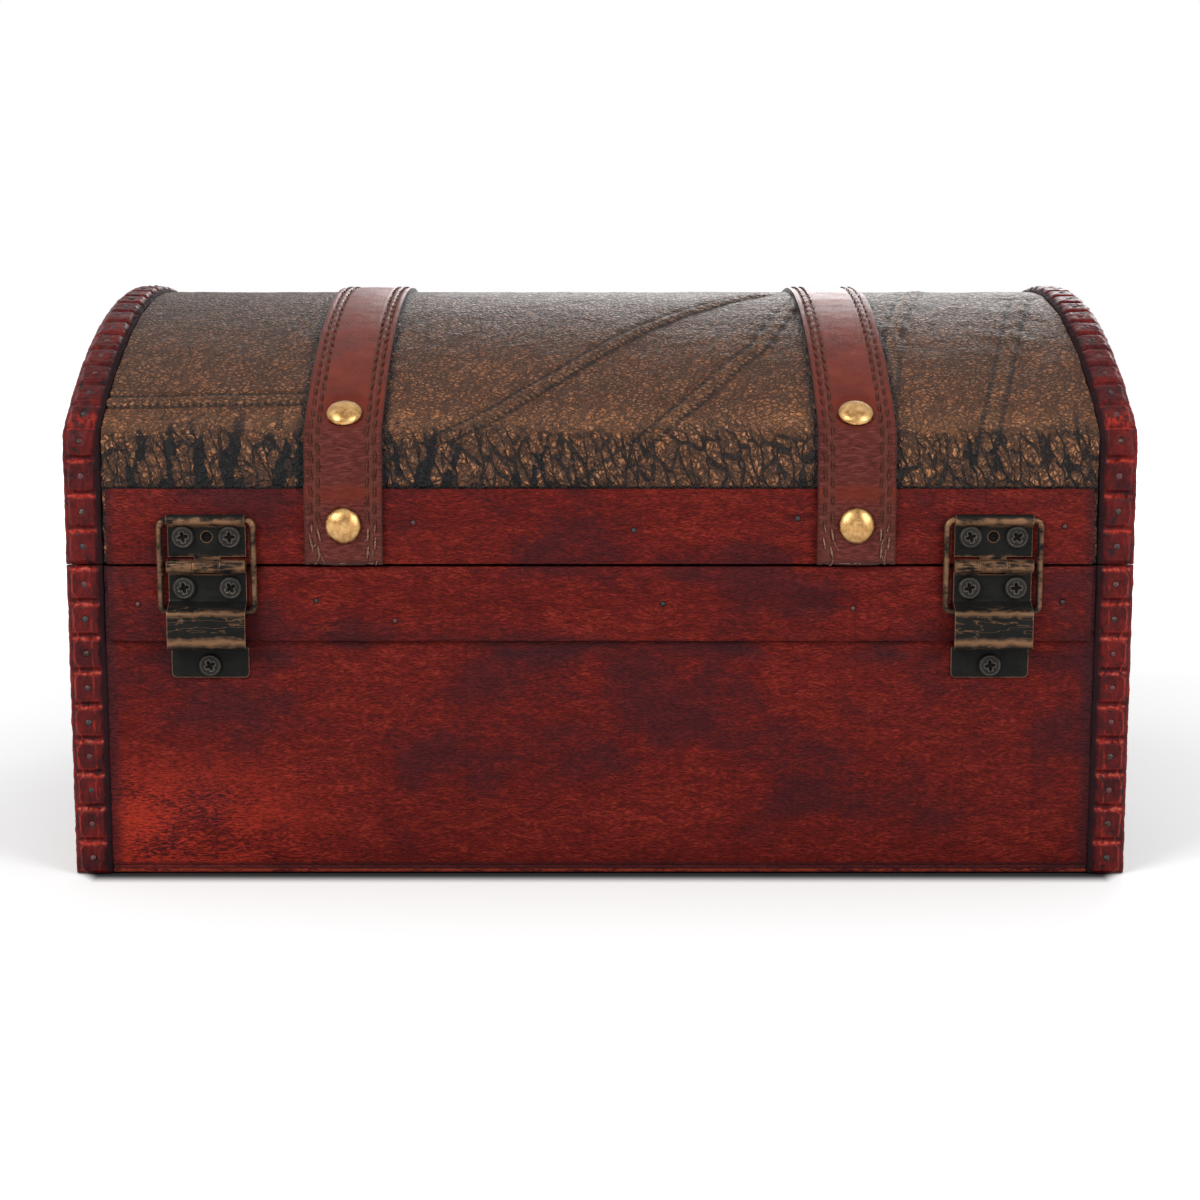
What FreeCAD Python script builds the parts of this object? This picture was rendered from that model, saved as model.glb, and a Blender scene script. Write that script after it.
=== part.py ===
import FreeCAD, Part
import math
import os

V = FreeCAD.Vector

# A small wooden chest with a barrel lid under leather, two leather straps, carved end
# mouldings, two stay hinges on the back and a hasp with a turning eye on the front.
# Millimetres. Origin at the middle of the underside: +X along the length, +Z up, the hinge
# side faces -Y and the hasp faces +Y. Every place follows from the values below.

# Whole chest, measured over the carved mouldings
length = 280.0
depth = 210.0
body_height = 82.8
parting_gap = 0.8
shoulder_over_rail = 15.2
crown_rise = 35.7
shoulder_radius = 6.0

# Woodwork and covering
board_thickness = 6.0
end_board_thickness = 9.2
floor_thickness = 2.3
rail_thickness = 1.4
rail_height = 19.6
rail_end_gap = 1.2
leather_thickness = 0.8
leather_end_gap = 0.2

# Carved mouldings nailed on the edges of the end boards
moulding_overhang = 0.6
moulding_thickness = 4.0
moulding_stand = 1.8
moulding_round = 0.7
block_relief = 1.1
block_sink = 0.4
block_rim = 1.4
block_round = 0.9
block_groove = 1.3
block_pitch = 9.3

# Straps over the lid, each as far from its hinge as strap_from_hinge, middle to middle
strap_width = 20.4
strap_thickness = 1.3
strap_from_hinge = 35.8
strap_ramp = 2.6

# Nails, tacks and screws
fastener_clearance = 0.02
nail_radius = 0.65
nail_length = 7.0
nail_stand = 0.15
brad_radius = 0.75
brad_length = 6.0
tack_radius = 4.8
tack_dome = 2.4
tack_shank_radius = 0.9
tack_shank_length = 6.0
screw_head_radius = 2.9
screw_head_edge = 0.5
screw_head_dome = 0.9
screw_shank_radius = 1.1
screw_length = 5.6
screw_tip = 1.2
cross_length = 3.3
cross_width = 0.75
cross_depth = 0.8
screw_hole_clearance = 0.2
# Degrees that each fastener of a group is turned on from the one before it
fastener_turn = 37.0

# Stay hinges, each with its middle as far from the end board as hinge_inset
hinge_inset = 27.5
hinge_width = 20.5
hinge_sheet = 0.6
pin_radius = 1.15
pin_clearance = 0.05
knuckle_standoff = 0.12
knuckle_gap = 0.15
middle_knuckle = 6.9
leaf_notch = 2.3
leaf_screw_inset = 4.15
screw_roll_gap = 0.15
screw_arch_gap = 0.8
spare_hole_radius = 1.4
stay_wire_radius = 0.8
stay_side_gap = 1.95
stay_bend = 1.9
stay_bar_gap = 0.35
stay_end_gap = 0.31
roll_rise = 12.1
arch_height = 5.1
arch_ramp = 2.4
arch_lead = 0.3
arch_bend = 1.3
tab_rail_gap = 1.55
tab_length = 8.45
tab_screw_gap = 5.05
tab_corner = 1.4

# Hasp and turning eye
hasp_width = 30.0
hasp_sheet = 0.8
hasp_plate_corner = 1.5
hasp_axis_rise = 5.0
lid_plate_top = 18.0
body_plate_top = 4.5
body_plate_edge = 0.6
hasp_screw_inset = 3.7
hasp_screw_rise = 12.5
tongue_screw_gap = 0.4
tongue_sheet = 0.9
tongue_end = 3.9
tongue_lean = 0.27
tongue_tip = 5.0
tongue_curl = 1.1
tongue_bend = 10.0
tongue_corner = 4.0
tongue_knuckle = 8.0
hasp_pin_radius = 0.8
hasp_knuckle_wall = 0.8
slot_near_gap = 0.4
slot_far_gap = 1.4
slot_side_gap = 1.3
eye_drop = 12.0
eye_reach = 6.4
eye_radius = 4.2
eye_hole_radius = 2.25
eye_thickness = 2.6
eye_round = 0.6
eye_stem_radius = 1.6
eye_stem_clearance = 0.06
eye_collar_radius = 2.2
eye_collar = 0.45
eye_foot_radius = 2.6
eye_foot = 0.8
eye_foot_gap = 0.15

# How far a cutter runs past the piece that it cuts, and the bow under which an arc is a line
overrun = 1.0
least_bow = 0.004

# Places of the brads in the rails: towards which end, in which free stretch of the rail, and
# as shares of that stretch from its inner end and of the rail's height from its lower edge
LEFT = -1
RIGHT = 1
back_lid_brad_shares = ((LEFT, "inside_strap", 0.86, 0.55), (RIGHT, "inside_strap", 0.155, 0.45),
                        (RIGHT, "inside_strap", 0.91, 0.61), (RIGHT, "outside_hinge", 0.42, 0.50))
front_lid_brad_shares = ((LEFT, "outside_hinge", 0.23, 0.50), (LEFT, "beside_hasp", 0.69, 0.44),
                         (RIGHT, "beside_hasp", 0.57, 0.58), (RIGHT, "outside_hinge", 0.23, 0.52))
back_body_brad_shares = ((LEFT, "outside_hinge", 0.42, 0.50), (LEFT, "inside_hinge", 0.83, 0.54),
                         (LEFT, "inside_hinge", 0.60, 0.27), (RIGHT, "inside_hinge", 0.184, 0.50),
                         (RIGHT, "inside_hinge", 0.74, 0.44), (RIGHT, "outside_hinge", 0.42, 0.52))
front_body_brad_shares = ((LEFT, "outside_hinge", 0.23, 0.48), (LEFT, "far_from_hasp", 0.87, 0.40),
                          (LEFT, "far_from_hasp", 0.18, 0.55), (RIGHT, "far_from_hasp", 0.25, 0.50),
                          (RIGHT, "far_from_hasp", 0.83, 0.60), (RIGHT, "outside_hinge", 0.23, 0.50))
# Height of the lower tack as a share of the rail, and the upper tack's place on the crown's
# arc as a share of the arc from its end to the crest
low_tack_share = 0.52
high_tack_share = 0.04

# Planes and lines that the pieces share
half_length = length / 2
half_depth = depth / 2
inner_half_length = half_length - moulding_overhang - end_board_thickness
face = half_depth - moulding_stand
rail_face = face + rail_thickness
lid_bottom = body_height + parting_gap
parting = body_height + parting_gap / 2
shoulder_height = lid_bottom + rail_height + shoulder_over_rail
crest_height = shoulder_height + crown_rise
crown_radius = (half_depth ** 2 + crown_rise ** 2) / (2 * crown_rise)
crown_centre = crest_height - crown_radius
bend_y = half_depth - shoulder_radius
bend_z = crown_centre + math.sqrt((crown_radius - shoulder_radius) ** 2 - bend_y ** 2)
bend_turn = math.atan2(bend_z - crown_centre, bend_y)
side_run = bend_z - lid_bottom
bend_run = shoulder_radius * bend_turn
crown_run = crown_radius * (math.pi - 2 * bend_turn)
whole_run = 2 * side_run + 2 * bend_run + crown_run
block_width = half_length - inner_half_length - 2 * block_rim
knuckle_radius = pin_radius + pin_clearance + hinge_sheet
pin_stand = knuckle_radius + knuckle_standoff
roll_radius = stay_wire_radius + pin_clearance + hinge_sheet
bar_stand = stay_bar_gap + stay_wire_radius
stay_width = hinge_width + 2 * stay_side_gap
stay_reach = stay_width / 2 + stay_wire_radius
hinge_distance = inner_half_length - hinge_inset
strap_distance = hinge_distance - strap_from_hinge

# Heights of a stay hinge from the parting. With the lid upright the stay's lower bar lies at the
# foot of the arch, and the stay is as long as that asks.
arch_end = parting_gap / 2 + rail_height + tab_rail_gap
bar_low = arch_end - hinge_sheet / 2 - stay_end_gap - stay_wire_radius
stay_length = math.hypot(roll_rise + pin_stand - bar_stand, bar_low + pin_stand - roll_radius)
stay_drop = math.sqrt(stay_length ** 2 - (roll_radius - bar_stand) ** 2)
arch_crest = stay_drop - roll_rise - arch_lead
arch_start = arch_crest - arch_ramp
tab_end = arch_end + tab_length
lid_screw_rise = roll_rise - roll_radius - screw_roll_gap - screw_head_radius
body_screw_drop = arch_start - screw_arch_gap - screw_head_radius
tab_screw_drop = arch_end + tab_screw_gap

# Sizes of the hasp that follow from its screws and its eye
hasp_knuckle_radius = hasp_pin_radius + pin_clearance + hasp_knuckle_wall
hasp_pin_stand = hasp_knuckle_radius + knuckle_standoff
body_plate_bottom = parting_gap / 2 + rail_height - body_plate_edge
hasp_screw_place = hasp_width / 2 - hasp_screw_inset
tongue_width = 2 * (hasp_screw_place - screw_head_radius - tongue_screw_gap)
slot_start = hasp_axis_rise + eye_drop - eye_radius - slot_near_gap
slot_end = hasp_axis_rise + eye_drop + eye_radius + slot_far_gap
slot_width = eye_thickness + 2 * slot_side_gap
tongue_length = slot_end + tongue_end

BACK = -1
FRONT = 1
ENDS = {"left": LEFT, "right": RIGHT}


def block(x0, x1, y0, y1, z0, z1):
    """A box between two corners, given in any order."""
    xs, ys, zs = sorted((x0, x1)), sorted((y0, y1)), sorted((z0, z1))
    return Part.makeBox(xs[1] - xs[0], ys[1] - ys[0], zs[1] - zs[0], V(xs[0], ys[0], zs[0]))


def rod(radius, start, direction, run):
    return Part.makeCylinder(radius, run, start, direction)


def put(shape, place, direction, turn):
    """A copy of a shape drawn along +Z, turned, moved to a place and pointed in a direction."""
    piece = shape.copy()
    spin = FreeCAD.Rotation(V(0, 0, 1), turn)
    piece.Placement = FreeCAD.Placement(place, FreeCAD.Rotation(V(0, 0, 1), direction).multiply(spin))
    return piece


def cut(shape, tools):
    return shape.cut(Part.makeCompound(tools)) if tools else shape


def fuse(pieces):
    return pieces[0].multiFuse(pieces[1:]).removeSplitter()


def solid_of(shape):
    """The one solid of a shape that a cut or a fusion has put in a compound."""
    return shape.Solids[0] if len(shape.Solids) == 1 else shape


def on_side(side, x, stand, rise):
    """A point by a face of the chest: out from the rail's face, up from the parting."""
    return V(x, side * (rail_face + stand), parting + rise)


def extruded(edges, run):
    """The solid that a closed line of edges sweeps along +X."""
    return Part.Face(Part.Wire(Part.__sortEdges__(edges))).extrude(V(run, 0, 0))


# Outline of the lid: upright sides, a rounded shoulder and one arc over the top


def station(run, inset):
    """Point and outward direction on the lid's outline, inset below the crown line.

    The run goes along the crown line from the back parting over the top to the front."""
    back = run <= whole_run / 2
    way = run if back else whole_run - run
    if way <= side_run:
        y, z, lean = half_depth - inset, lid_bottom + way, 0.0
    elif way <= side_run + bend_run:
        lean = (way - side_run) / shoulder_radius
        y = bend_y + (shoulder_radius - inset) * math.cos(lean)
        z = bend_z + (shoulder_radius - inset) * math.sin(lean)
    else:
        lean = bend_turn + (way - side_run - bend_run) / crown_radius
        y = (crown_radius - inset) * math.cos(lean)
        z = crown_centre + (crown_radius - inset) * math.sin(lean)
    side = BACK if back else FRONT
    return V(0, side * y, z), V(0, side * math.cos(lean), math.sin(lean))


def breaks(run0, run1):
    """The runs where a stretch of the outline starts, changes its curve and ends."""
    joints = (side_run, side_run + bend_run, whole_run - side_run - bend_run, whole_run - side_run)
    return [run0] + [joint for joint in joints if run0 < joint < run1] + [run1]


def outline(run0, run1, inset, x):
    """Edges along the lid's outline, lines on its sides and arcs elsewhere."""
    edges = []
    runs = breaks(run0, run1)
    for a, b in zip(runs, runs[1:]):
        start, middle, end = (station(run, inset)[0] + V(x, 0, 0) for run in (a, (a + b) / 2, b))
        upright = b <= side_run or a >= whole_run - side_run
        edges.append(Part.makeLine(start, end) if upright else Part.Arc(start, middle, end).toShape())
    return edges


def inner_outline(inset, x):
    """Edges of the lid's outline deeper than the shoulder's radius, where its corner is sharp."""
    y = half_depth - inset
    radius = crown_radius - inset
    z = crown_centre + math.sqrt(radius ** 2 - y ** 2)
    crest = V(x, 0, crown_centre + radius)
    back, front = V(x, -y, z), V(x, y, z)
    arc = Part.Arc(back, crest, front).toShape()
    return [Part.makeLine(V(x, -y, lid_bottom), back), arc, Part.makeLine(front, V(x, y, lid_bottom))]


def lid_line(inset, x):
    return outline(0.0, whole_run, inset, x) if inset < shoulder_radius else inner_outline(inset, x)


def lid_band(outer, inner, x0, x1):
    """A sheet bent over the lid, between two depths below the crown line."""
    edges = lid_line(outer, x0) + lid_line(inner, x0)
    for side in (BACK, FRONT):
        foot = [V(x0, side * (half_depth - inset), lid_bottom) for inset in (outer, inner)]
        edges.append(Part.makeLine(*foot))
    return extruded(edges, x1 - x0)


def lid_slab(inset, x0, x1):
    """A solid board with the lid's outline."""
    y = half_depth - inset
    edges = lid_line(inset, x0) + [Part.makeLine(V(x0, -y, lid_bottom), V(x0, y, lid_bottom))]
    return extruded(edges, x1 - x0)


# Nails, tacks and screws, drawn along +Z with the seat of the head at zero


def dome(radius, height):
    ball = (radius ** 2 + height ** 2) / (2 * height)
    cap = Part.makeSphere(ball, V(0, 0, height - ball))
    return cap.common(Part.makeCylinder(radius + overrun, height + overrun))


def nail(radius, run):
    """A headless nail whose rounded end stands a little proud of its seat."""
    tip = Part.makeCone(0, radius, 2 * radius, V(0, 0, -run))
    shank = Part.makeCylinder(radius, run - 2 * radius + nail_stand / 2, V(0, 0, 2 * radius - run))
    top = dome(radius, nail_stand / 2)
    top.translate(V(0, 0, nail_stand / 2))
    return fuse([tip, shank, top])


def tack():
    shank = Part.makeCylinder(tack_shank_radius, tack_shank_length, V(0, 0, -tack_shank_length))
    return fuse([dome(tack_radius, tack_dome), shank])


def screw():
    """A pan head screw with a crossed recess."""
    head = Part.makeCylinder(screw_head_radius, screw_head_edge)
    crown = dome(screw_head_radius, screw_head_dome)
    crown.translate(V(0, 0, screw_head_edge))
    shank = Part.makeCylinder(screw_shank_radius, screw_length - screw_tip, V(0, 0, screw_tip - screw_length))
    tip = Part.makeCone(0, screw_shank_radius, screw_tip, V(0, 0, -screw_length))
    top = screw_head_edge + screw_head_dome
    bars = []
    for wide, deep in ((cross_length, cross_width), (cross_width, cross_length)):
        bars.append(block(-wide / 2, wide / 2, -deep / 2, deep / 2, top - cross_depth, top + overrun))
    return cut(fuse([head, crown, shank, tip]), bars)


def pilot(radius, run, place, direction):
    """The hole that a nail, tack or screw fills, a hair wider and longer than its shank."""
    start = place + direction * overrun
    return rod(radius + fastener_clearance, start, direction * -1, run + overrun + fastener_clearance)


def out(side):
    return V(0, side, 0)


# Places of the fasteners


def rail_stretch(name):
    """A stretch of rail that no strap, hinge or hasp covers, from its inner end outwards."""
    before_strap = strap_distance - strap_width / 2
    before_hinge, after_hinge = hinge_distance - stay_reach, hinge_distance + stay_reach
    return {"inside_strap": (0, before_strap), "inside_hinge": (0, before_hinge),
            "beside_hasp": (hasp_width / 2, before_strap), "far_from_hasp": (hasp_width / 2, before_hinge),
            "outside_hinge": (after_hinge, inner_half_length - rail_end_gap)}[name]


def rail_brads(side, back_shares, front_shares, z0):
    """Seats of the brads in the back rail or the front rail whose lower edge is at a height."""
    for end, name, along, up in (back_shares if side == BACK else front_shares):
        inner, outer = rail_stretch(name)
        x = end * (inner + along * (outer - inner))
        yield V(x, side * rail_face, z0 + up * rail_height)


def lid_brads(side):
    return rail_brads(side, back_lid_brad_shares, front_lid_brad_shares, lid_bottom)


def body_brads(side):
    return rail_brads(side, back_body_brad_shares, front_body_brad_shares, body_height - rail_height)


def tack_seats(x):
    """Seats of one strap's tacks, two at the back and two at the front."""
    crown_start = side_run + bend_run
    high = crown_start + high_tack_share * crown_run / 2
    cover = moulding_stand - strap_thickness
    for run in (high, whole_run - high):
        point, direction = station(run, cover)
        yield point + V(x, 0, 0), direction
    for side in (BACK, FRONT):
        rise = lid_bottom - parting + low_tack_share * rail_height
        yield on_side(side, x, strap_thickness, rise), out(side)


def strap_middle(name):
    return ENDS[name] * strap_distance


def hinge_middle(name):
    return ENDS[name] * hinge_distance


def leaf_seats(name, rise):
    """Seats of the two screws that hold a leaf beside each other."""
    away = hinge_width / 2 - leaf_screw_inset
    for way in (LEFT, RIGHT):
        yield on_side(BACK, hinge_middle(name) + way * away, hinge_sheet, rise)


def lid_leaf_seats(name):
    return list(leaf_seats(name, lid_screw_rise))


def body_leaf_seats(name):
    tab_seat = on_side(BACK, hinge_middle(name), hinge_sheet - rail_thickness, -tab_screw_drop)
    return list(leaf_seats(name, -body_screw_drop)) + [tab_seat]


def hasp_seats(rise):
    for way in (LEFT, RIGHT):
        yield on_side(FRONT, way * hasp_screw_place, hasp_sheet, rise)


def screw_pilots(seats, side):
    return [pilot(screw_shank_radius, screw_length, seat, out(side)) for seat in seats]


def lid_pilots():
    """Every hole in the lid's front and back, through rail, leather and shell."""
    tools = []
    for name in ENDS:
        tools += screw_pilots(lid_leaf_seats(name), BACK)
        for seat, direction in tack_seats(strap_middle(name)):
            tools.append(pilot(tack_shank_radius, tack_shank_length, seat, direction))
    tools += screw_pilots(hasp_seats(hasp_screw_rise), FRONT)
    for side in (BACK, FRONT):
        for seat in lid_brads(side):
            tools.append(pilot(brad_radius, brad_length, seat, out(side)))
    return tools


def body_pilots():
    """Every hole in the body's front and back, through rail and board."""
    tools = []
    for name in ENDS:
        tools += screw_pilots(body_leaf_seats(name), BACK)
    tools += screw_pilots(hasp_seats(-hasp_screw_rise), FRONT)
    for side in (BACK, FRONT):
        for seat in body_brads(side):
            tools.append(pilot(brad_radius, brad_length, seat, out(side)))
    return tools


def eye_recess():
    """Room in the front rail and board for the foot of the turning eye."""
    start = on_side(FRONT, 0, overrun, -eye_drop)
    deep = eye_foot + 2 * eye_foot_gap
    return rod(eye_foot_radius + eye_foot_gap, start, out(BACK), deep + overrun)


# Boards, rails and leather


def wall(side, thickness, z0, z1):
    return block(-inner_half_length, inner_half_length, side * face, side * (face - thickness), z0, z1)


def rail(side, z0):
    half = inner_half_length - rail_end_gap
    return block(-half, half, side * face, side * rail_face, z0, z0 + rail_height)


def body_board(side):
    return cut(wall(side, board_thickness, floor_thickness, body_height), body_pilots() + [eye_recess()])


def body_rail(side):
    return cut(rail(side, body_height - rail_height), body_pilots() + [eye_recess()])


def lid_rail(side):
    return cut(rail(side, lid_bottom), lid_pilots())


def floor_board():
    return block(-inner_half_length, inner_half_length, -face, face, 0, floor_thickness)


def end_span(end):
    return sorted((end * inner_half_length, end * (inner_half_length + end_board_thickness)))


def body_end_board(end):
    y = half_depth - moulding_thickness
    x0, x1 = end_span(end)
    return cut(block(x0, x1, -y, y, 0, body_height), body_nail_pilots(end))


def lid_end_board(end):
    x0, x1 = end_span(end)
    return cut(lid_slab(moulding_thickness, x0, x1), lid_nail_pilots(end))


def lid_shell():
    """Everything between the leather and the lid's hollow."""
    outer = moulding_stand + leather_thickness
    inner = moulding_stand + board_thickness
    return lid_band(outer, inner, -inner_half_length, inner_half_length)


def lid_seam():
    """The height where the lid's upright boards meet its top: the inner corner of the hollow."""
    inner = moulding_stand + board_thickness
    return crown_centre + math.sqrt((crown_radius - inner) ** 2 - (half_depth - inner) ** 2)


def lid_board(side):
    low = block(-half_length, half_length, 0, side * half_depth, lid_bottom, lid_seam())
    return cut(lid_shell().common(low), lid_pilots())


def lid_top():
    """The bent board of the crown."""
    high = block(-half_length, half_length, -half_depth, half_depth, lid_seam(), crest_height)
    return cut(lid_shell().common(high), lid_pilots())


def lid_leather():
    half = inner_half_length - leather_end_gap
    band = lid_band(moulding_stand, moulding_stand + leather_thickness, -half, half)
    return cut(band, lid_pilots())


# Carved mouldings: a strip with a row of pillow blocks


def strip_span(end):
    return sorted((end * inner_half_length, end * half_length))


def block_span(end):
    outer = half_length - block_rim
    return sorted((end * (outer - block_width), end * outer))


def block_runs(start, end):
    """Where each carved block of a moulding begins and ends."""
    count = max(1, round((end - start) / block_pitch))
    pitch = (end - start) / count
    for number in range(count):
        low = start + number * pitch
        yield low + block_groove / 2, low + pitch - block_groove / 2


def rounded(solid, radius, wanted):
    """A solid with the edges rounded whose middle and direction pass a test."""
    edges = []
    for edge in solid.Edges:
        middle = edge.valueAt((edge.FirstParameter + edge.LastParameter) / 2)
        if wanted(middle, edge):
            edges.append(edge)
    return solid.makeFillet(radius, edges)


def body_block(end, side, z0, z1):
    x0, x1 = block_span(end)
    base = half_depth - block_relief - block_sink
    solid = block(x0, x1, side * base, side * half_depth, z0, z1)
    return rounded(solid, block_round, lambda middle, edge: abs(middle.y) > base + block_sink / 2)


def body_moulding(end, side):
    x0, x1 = strip_span(end)
    top = half_depth - block_relief
    base = half_depth - moulding_thickness
    strip = block(x0, x1, side * base, side * top, 0, body_height)
    strip = rounded(strip, moulding_round, lambda middle, edge: abs(middle.y) > top - moulding_round / 2
                    and abs(abs(middle.z - body_height / 2) - body_height / 2) > moulding_round)
    blocks = [body_block(end, side, z0, z1) for z0, z1 in block_runs(0.0, body_height)]
    return cut(fuse([strip] + blocks), body_nail_pilots(end))


def bowed(run0, run1, inset, x):
    """One edge through three points of the lid's outline, straight where they are in line."""
    start, middle, end = (station(run, inset)[0] + V(x, 0, 0) for run in (run0, (run0 + run1) / 2, run1))
    bow = ((start + end) / 2).distanceToPoint(middle)
    return Part.makeLine(start, end) if bow < least_bow else Part.Arc(start, middle, end).toShape()


def lid_block(end, run0, run1):
    """One pillow block that follows the lid's outline."""
    x0, x1 = block_span(end)
    deep = block_relief + block_sink
    edges = [bowed(run0, run1, inset, x0) for inset in (0.0, deep)]
    for run in (run0, run1):
        edges.append(Part.makeLine(station(run, 0.0)[0] + V(x0, 0, 0), station(run, deep)[0] + V(x0, 0, 0)))
    solid = extruded(edges, x1 - x0)
    foot = bowed(run0, run1, deep, x0)
    return rounded(solid, block_round, lambda middle, edge:
                   foot.distToShape(Part.Vertex(x0, middle.y, middle.z))[0] > block_sink / 2)


def lid_moulding(end):
    x0, x1 = strip_span(end)
    strip = lid_band(block_relief, moulding_thickness, x0, x1)
    runs = breaks(0.0, whole_run)
    crowns = [station((a + b) / 2, block_relief)[0] for a, b in zip(runs, runs[1:])]

    def wanted(middle, edge):
        flat = V(0, middle.y, middle.z)
        return any(flat.distanceToPoint(point) < block_sink / 4 for point in crowns)

    strip = rounded(strip, moulding_round, wanted)
    blocks = [lid_block(end, run0, run1) for run0, run1 in block_runs(0.0, whole_run)]
    return cut(fuse([strip] + blocks), lid_nail_pilots(end))


def nail_line(end):
    x0, x1 = block_span(end)
    return (x0 + x1) / 2


def body_nail_seats(end):
    for side in (BACK, FRONT):
        for z0, z1 in block_runs(0.0, body_height):
            yield V(nail_line(end), side * half_depth, (z0 + z1) / 2), out(side)


def lid_nail_seats(end):
    for run0, run1 in block_runs(0.0, whole_run):
        point, direction = station((run0 + run1) / 2, 0.0)
        yield point + V(nail_line(end), 0, 0), direction


def body_nail_pilots(end):
    return [pilot(nail_radius, nail_length, seat, direction) for seat, direction in body_nail_seats(end)]


def lid_nail_pilots(end):
    return [pilot(nail_radius, nail_length, seat, direction) for seat, direction in lid_nail_seats(end)]


# Straps


def strap_foot(side, x, reach):
    """Corners of the strap where it comes down over the rail, reach out from what it lies on."""
    rail_top = lid_bottom + rail_height
    low = V(x, side * (rail_face + reach), lid_bottom)
    step = V(x, side * (rail_face + reach), rail_top + reach / 2)
    high = V(x, side * (face + reach), rail_top + strap_ramp)
    return low, step, high


def strap_line(x, reach):
    """One face of a strap, from the back parting over the lid to the front parting."""
    inset = moulding_stand - reach
    edges = outline(side_run, whole_run - side_run, inset, x)
    for side in (BACK, FRONT):
        low, step, high = strap_foot(side, x, reach)
        shoulder = V(x, side * (half_depth - inset), bend_z)
        edges += [Part.makeLine(low, step), Part.makeLine(step, high), Part.makeLine(high, shoulder)]
    return edges


def strap(name):
    x = strap_middle(name) - strap_width / 2
    edges = strap_line(x, 0.0) + strap_line(x, strap_thickness)
    for side in (BACK, FRONT):
        edges.append(Part.makeLine(strap_foot(side, x, 0.0)[0], strap_foot(side, x, strap_thickness)[0]))
    tools = [pilot(tack_shank_radius, tack_shank_length, seat, direction)
             for seat, direction in tack_seats(strap_middle(name))]
    return cut(extruded(edges, strap_width), tools)


# Bent sheet metal: a strip along a line of points, with rounded bends


def bent_line(points, bends, shift):
    """Corners and bends of a line in a plane, moved sideways by a shift.

    It gives pairs and triples of points: a pair is a line, a triple an arc."""
    parts = []
    last = None
    for number, (point, after) in enumerate(zip(points, points[1:])):
        run = (after[0] - point[0], after[1] - point[1])
        size = math.hypot(*run)
        way = (run[0] / size, run[1] / size)
        left = (-way[1] * shift, way[0] * shift)
        if number == 0:
            last = (point[0] + left[0], point[1] + left[1])
        if number + 2 == len(points):
            parts.append((last, (after[0] + left[0], after[1] + left[1])))
            continue
        then = points[number + 2]
        turned = (then[0] - after[0], then[1] - after[1])
        size = math.hypot(*turned)
        turned = (turned[0] / size, turned[1] / size)
        cross = way[0] * turned[1] - way[1] * turned[0]
        angle = math.atan2(cross, way[0] * turned[0] + way[1] * turned[1])
        sign = 1 if angle > 0 else -1
        radius = bends[number]
        back = radius * math.tan(abs(angle) / 2)
        start = (after[0] - way[0] * back, after[1] - way[1] * back)
        centre = (start[0] - way[1] * sign * radius, start[1] + way[0] * sign * radius)
        kept = radius - sign * shift
        points_on_arc = []
        for share in (0, 0.5, 1):
            turn = angle * share
            arm = (way[1] * sign, -way[0] * sign)
            swung = (arm[0] * math.cos(turn) - arm[1] * math.sin(turn),
                     arm[0] * math.sin(turn) + arm[1] * math.cos(turn))
            points_on_arc.append((centre[0] + swung[0] * kept, centre[1] + swung[1] * kept))
        parts.append((last, points_on_arc[0]))
        parts.append(tuple(points_on_arc))
        last = points_on_arc[2]
    return parts


def bent_strip(side, x0, x1, points, bends, sheet):
    """Sheet metal of one width on a face of the chest; the points are stand and rise."""
    lines = [bent_line(points, bends, shift) for shift in (sheet / 2, -sheet / 2)]
    edges = []
    for parts in lines:
        for part in parts:
            spots = [on_side(side, x0, *spot) for spot in part]
            edges.append(Part.makeLine(*spots) if len(spots) == 2 else Part.Arc(*spots).toShape())
    for pick in (0, -1):
        edges.append(Part.makeLine(*(on_side(side, x0, *parts[pick][pick]) for parts in lines)))
    return extruded(edges, x1 - x0)


def barrel(side, x0, x1, radius, stand, rise):
    return rod(radius, on_side(side, x0, stand, rise), V(1, 0, 0), x1 - x0)


# Stay hinges


def knuckle_spans(middle, width, centre_width):
    """Where the three knuckles of a hinge begin and end: left, middle and right."""
    edge, inner = width / 2, centre_width / 2
    return ((middle - edge, middle - inner - knuckle_gap), (middle - inner, middle + inner),
            (middle + inner + knuckle_gap, middle + edge))


def hinge_notch(x0, x1, way):
    """Room in a leaf for the other leaf's knuckle; way is 1 upwards and -1 downwards."""
    a = on_side(BACK, x0 - knuckle_gap, -overrun, -way * overrun)
    b = on_side(BACK, x1 + knuckle_gap, pin_stand, way * leaf_notch)
    return block(a.x, b.x, a.y, b.y, a.z, b.z)


def screw_holes(seats, side):
    radius = screw_shank_radius + screw_hole_clearance
    return [rod(radius, seat + out(side) * overrun, out(-side), screw_length) for seat in seats]


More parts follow.
